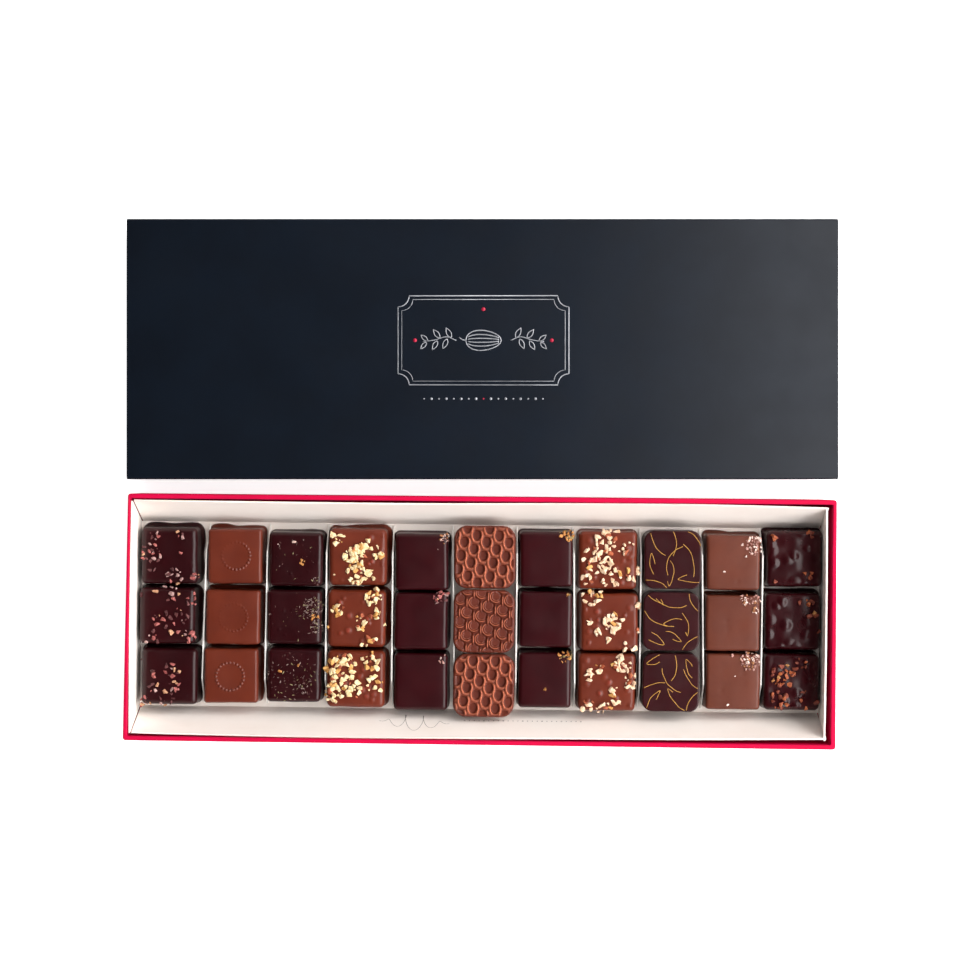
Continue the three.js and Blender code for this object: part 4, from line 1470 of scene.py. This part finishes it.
SUGAR_PATCHES = {
    (10, 1): [(0.78, 0.62, 0.34, 34), (0.3, 0.65, 0.02, 1), (0.45, 0.22, 0.02, 1), (-0.35, -0.35, 0.02, 1)],
    (10, 2): [(0.45, 0.85, 0.2, 16), (0.82, 0.85, 0.16, 12), (0.82, 0.5, 0.12, 6)],
    (10, 3): [(0.62, 0.75, 0.36, 46), (-0.05, 0.95, 0.02, 1), (0.05, 0.2, 0.02, 1), (-0.2, -0.8, 0.02, 1)],
    (5, 1): [(0.84, 0.84, 0.18, 12), (0.6, 0.46, 0.02, 1)],
    (5, 3): [(0.78, 0.82, 0.16, 4)],
    (3, 1): [(-0.62, 0.52, 0.05, 1), (-0.07, 0.64, 0.02, 1)],
}
TOFFEE_PATCHES = {
    (7, 1): [(0.84, 0.86, 0.22, 16), (0.6, 0.9, 0.1, 3)],
    (7, 2): [(0.82, 0.86, 0.06, 3)],
    (7, 3): [(0.72, 0.85, 0.22, 9), (0.95, 0.95, 0.1, 4), (0.02, -0.3, 0.01, 1)],
    (3, 1): [(0.24, -0.09, 0.1, 3)],
    (3, 2): [(0.75, 0.02, 0.12, 5)],
    (3, 3): [(-0.5, 0.15, 0.03, 1), (0.2, 0.37, 0.03, 1)],
}
CARAMEL_PATCHES = {
    (11, 1): [(-0.73, 0.7, 0.08, 3), (0.55, 0.92, 0.16, 5), (0.5, -0.55, 0.16, 4), (-0.7, -0.83, 0.04, 1)],
    (11, 2): [(0.25, 0.7, 0.05, 1), (0.62, 0.68, 0.18, 5), (0.72, 0.22, 0.14, 4), (0.87, -0.35, 0.04, 1)],
    (11, 3): [(-0.35, 0.2, 0.42, 18), (0.28, 0.62, 0.25, 5), (-0.45, -0.62, 0.35, 11), (0.5, -0.6, 0.4, 4)],
}
DUST_PATCHES = {
    (3, 1): [(0.0, 0.0, 0.85, 20), (0.75, -0.8, 0.15, 12), (-0.58, 0.45, 0.08, 3)],
    (3, 2): [(0.68, 0.4, 0.36, 90), (0.35, 0.2, 0.3, 16), (0.85, -0.35, 0.25, 36), (0.0, 0.0, 0.9, 10)],
    (3, 3): [(0.0, -0.1, 0.95, 70), (0.3, -0.35, 0.3, 16)],
}


# Colours of the bits, in the light and where they run deeper

BITS = {
    "Nut, cream": ((230, 210, 170), (210, 178, 126)),
    "Nut, golden": ((208, 158, 92), (176, 120, 58)),
    "Nut, pale": ((230, 204, 176), (210, 172, 136)),
    "Nut, skin": ((168, 88, 54), (130, 60, 36)),
    "Nib, rose": ((168, 96, 90), (126, 58, 56)),
    "Nib, cream": ((196, 152, 118), (162, 112, 82)),
    "Nib, brown": ((98, 52, 52), (62, 28, 30)),
    "Nib, pale": ((176, 144, 138), (132, 94, 92)),
    "Sugar, white": ((226, 204, 194), (198, 164, 152)),
    "Sugar, rose": ((182, 140, 130), (146, 98, 88)),
    "Sugar, amber": ((168, 116, 78), (130, 80, 48)),
    "Toffee, gold": ((200, 142, 78), (160, 98, 46)),
    "Toffee, olive": ((150, 128, 82), (112, 92, 52)),
    "Caramel, orange": ((168, 90, 50), (128, 58, 32)),
    "Caramel, deep": ((124, 58, 40), (90, 38, 28)),
    "Caramel, straw": ((196, 142, 88), (162, 108, 62)),
    "Dust, grey": ((142, 122, 114), (104, 84, 80)),
    "Dust, brown": ((104, 74, 68), (74, 48, 46)),
    "Dust, olive": ((146, 136, 100), (112, 102, 70)),
}


def all_toppings(nut, nib):
    """Every kind of topping, from the mean lengths of a nut and a nib in millimetres."""
    toasted = {"Nut, cream": 0.76, "Nut, golden": 0.16, "Nut, skin": 0.08}
    pale = {"Nut, pale": 0.84, "Nut, golden": 0.08, "Nut, skin": 0.08}
    nibs = {"Nib, rose": 0.34, "Nib, cream": 0.16, "Nib, brown": 0.3, "Nib, pale": 0.2}
    sugar = {"Sugar, white": 0.5, "Sugar, rose": 0.35, "Sugar, amber": 0.15}
    toffee = {"Toffee, gold": 0.75, "Toffee, olive": 0.25}
    caramel = {"Caramel, orange": 0.5, "Caramel, deep": 0.35, "Caramel, straw": 0.15}
    dust = {"Dust, grey": 0.45, "Dust, brown": 0.25, "Dust, olive": 0.3}
    return (
        Topping("toasted_nuts", "chopped_nuts", nut, 11, TOASTED_PATCHES, toasted),
        Topping("pale_nuts", "chopped_nuts", nut, 12, PALE_PATCHES, pale, 0.7),
        Topping("cocoa_nibs", "cocoa_nibs", nib, 13, NIB_PATCHES, nibs, 0.7),
        Topping("sugar_flakes", "sugar_flakes", 1.6, 14, SUGAR_PATCHES, sugar, corners=8),
        Topping("toffee_bits", "caramel_bits", 1.9, 15, TOFFEE_PATCHES, toffee, 0.8, 0.7, 9),
        Topping("caramel_bits", "caramel_bits", 2.5, 16, CARAMEL_PATCHES, caramel, 0.9, 0.8, crumbs=0.2),
        Topping("herb_dust", "cocoa_nibs", 1.5, 17, DUST_PATCHES, dust, 0.32, 0.22, 7),
    )


class PRALINES_OT_toppings(bpy.types.Operator):
    """Scatters nuts, nibs, sugar, toffee, caramel and dust over the coated pralines"""

    bl_idname = "pralines.toppings"
    bl_label = "Toppings"

    def execute(self, context):
        settings = context.scene.praline_topping
        materials = {name: self.bit(name, *colours) for name, colours in BITS.items()}
        for topping in all_toppings(settings.nut_length / MM, settings.nib_length / MM):
            topping.scatter(materials, settings.amount)
        return {"FINISHED"}

    def bit(self, name, light, deep):
        """The finish of one kind of bit."""
        return finish(
            name, linear(light), linear(deep), mottle=700, between=(NOISE_LOW, NOISE_HIGH),
            gloss=(0.5, 0.7, 500), grain=(2500, 0.00006, 0.5), Specular_IOR_Level=0.4,
        )


# The panel, and running it all

STEPS = (
    PRALINES_OT_studio,
    PRALINES_OT_tray,
    PRALINES_OT_liner,
    PRALINES_OT_flourish,
    PRALINES_OT_sleeve,
    PRALINES_OT_emblem,
    PRALINES_OT_coated,
    PRALINES_OT_scaled,
    PRALINES_OT_printed,
    PRALINES_OT_toppings,
)


class PRALINES_PT_panel(bpy.types.Panel):
    """Lists the steps that dress the box, in order"""

    bl_idname = "PRALINES_PT_panel"
    bl_label = "Praline box"
    bl_space_type = "VIEW_3D"
    bl_region_type = "UI"
    bl_category = "Pralines"

    def draw(self, context):
        for step in STEPS:
            self.layout.operator(step.bl_idname)
        for name, group in SETTINGS.items():
            column = self.layout.column(heading=group.__name__)
            for label in group.__annotations__:
                column.prop(getattr(context.scene, name), label)


def register():
    for group in SETTINGS.values():
        bpy.utils.register_class(group)
    for name, group in SETTINGS.items():
        setattr(bpy.types.Scene, name, bpy.props.PointerProperty(type=group))
    for step in STEPS:
        bpy.utils.register_class(step)
    bpy.utils.register_class(PRALINES_PT_panel)


def unregister():
    bpy.utils.unregister_class(PRALINES_PT_panel)
    for step in reversed(STEPS):
        bpy.utils.unregister_class(step)
    for name, group in SETTINGS.items():
        delattr(bpy.types.Scene, name)
        bpy.utils.unregister_class(group)


def main():
    register()
    bpy.ops.pralines.studio()
    bpy.ops.pralines.tray()
    bpy.ops.pralines.liner()
    bpy.ops.pralines.flourish()
    bpy.ops.pralines.sleeve()
    bpy.ops.pralines.emblem()
    bpy.ops.pralines.coated()
    bpy.ops.pralines.scaled()
    bpy.ops.pralines.printed()
    bpy.ops.pralines.toppings()


if __name__ == "__main__":
    main()
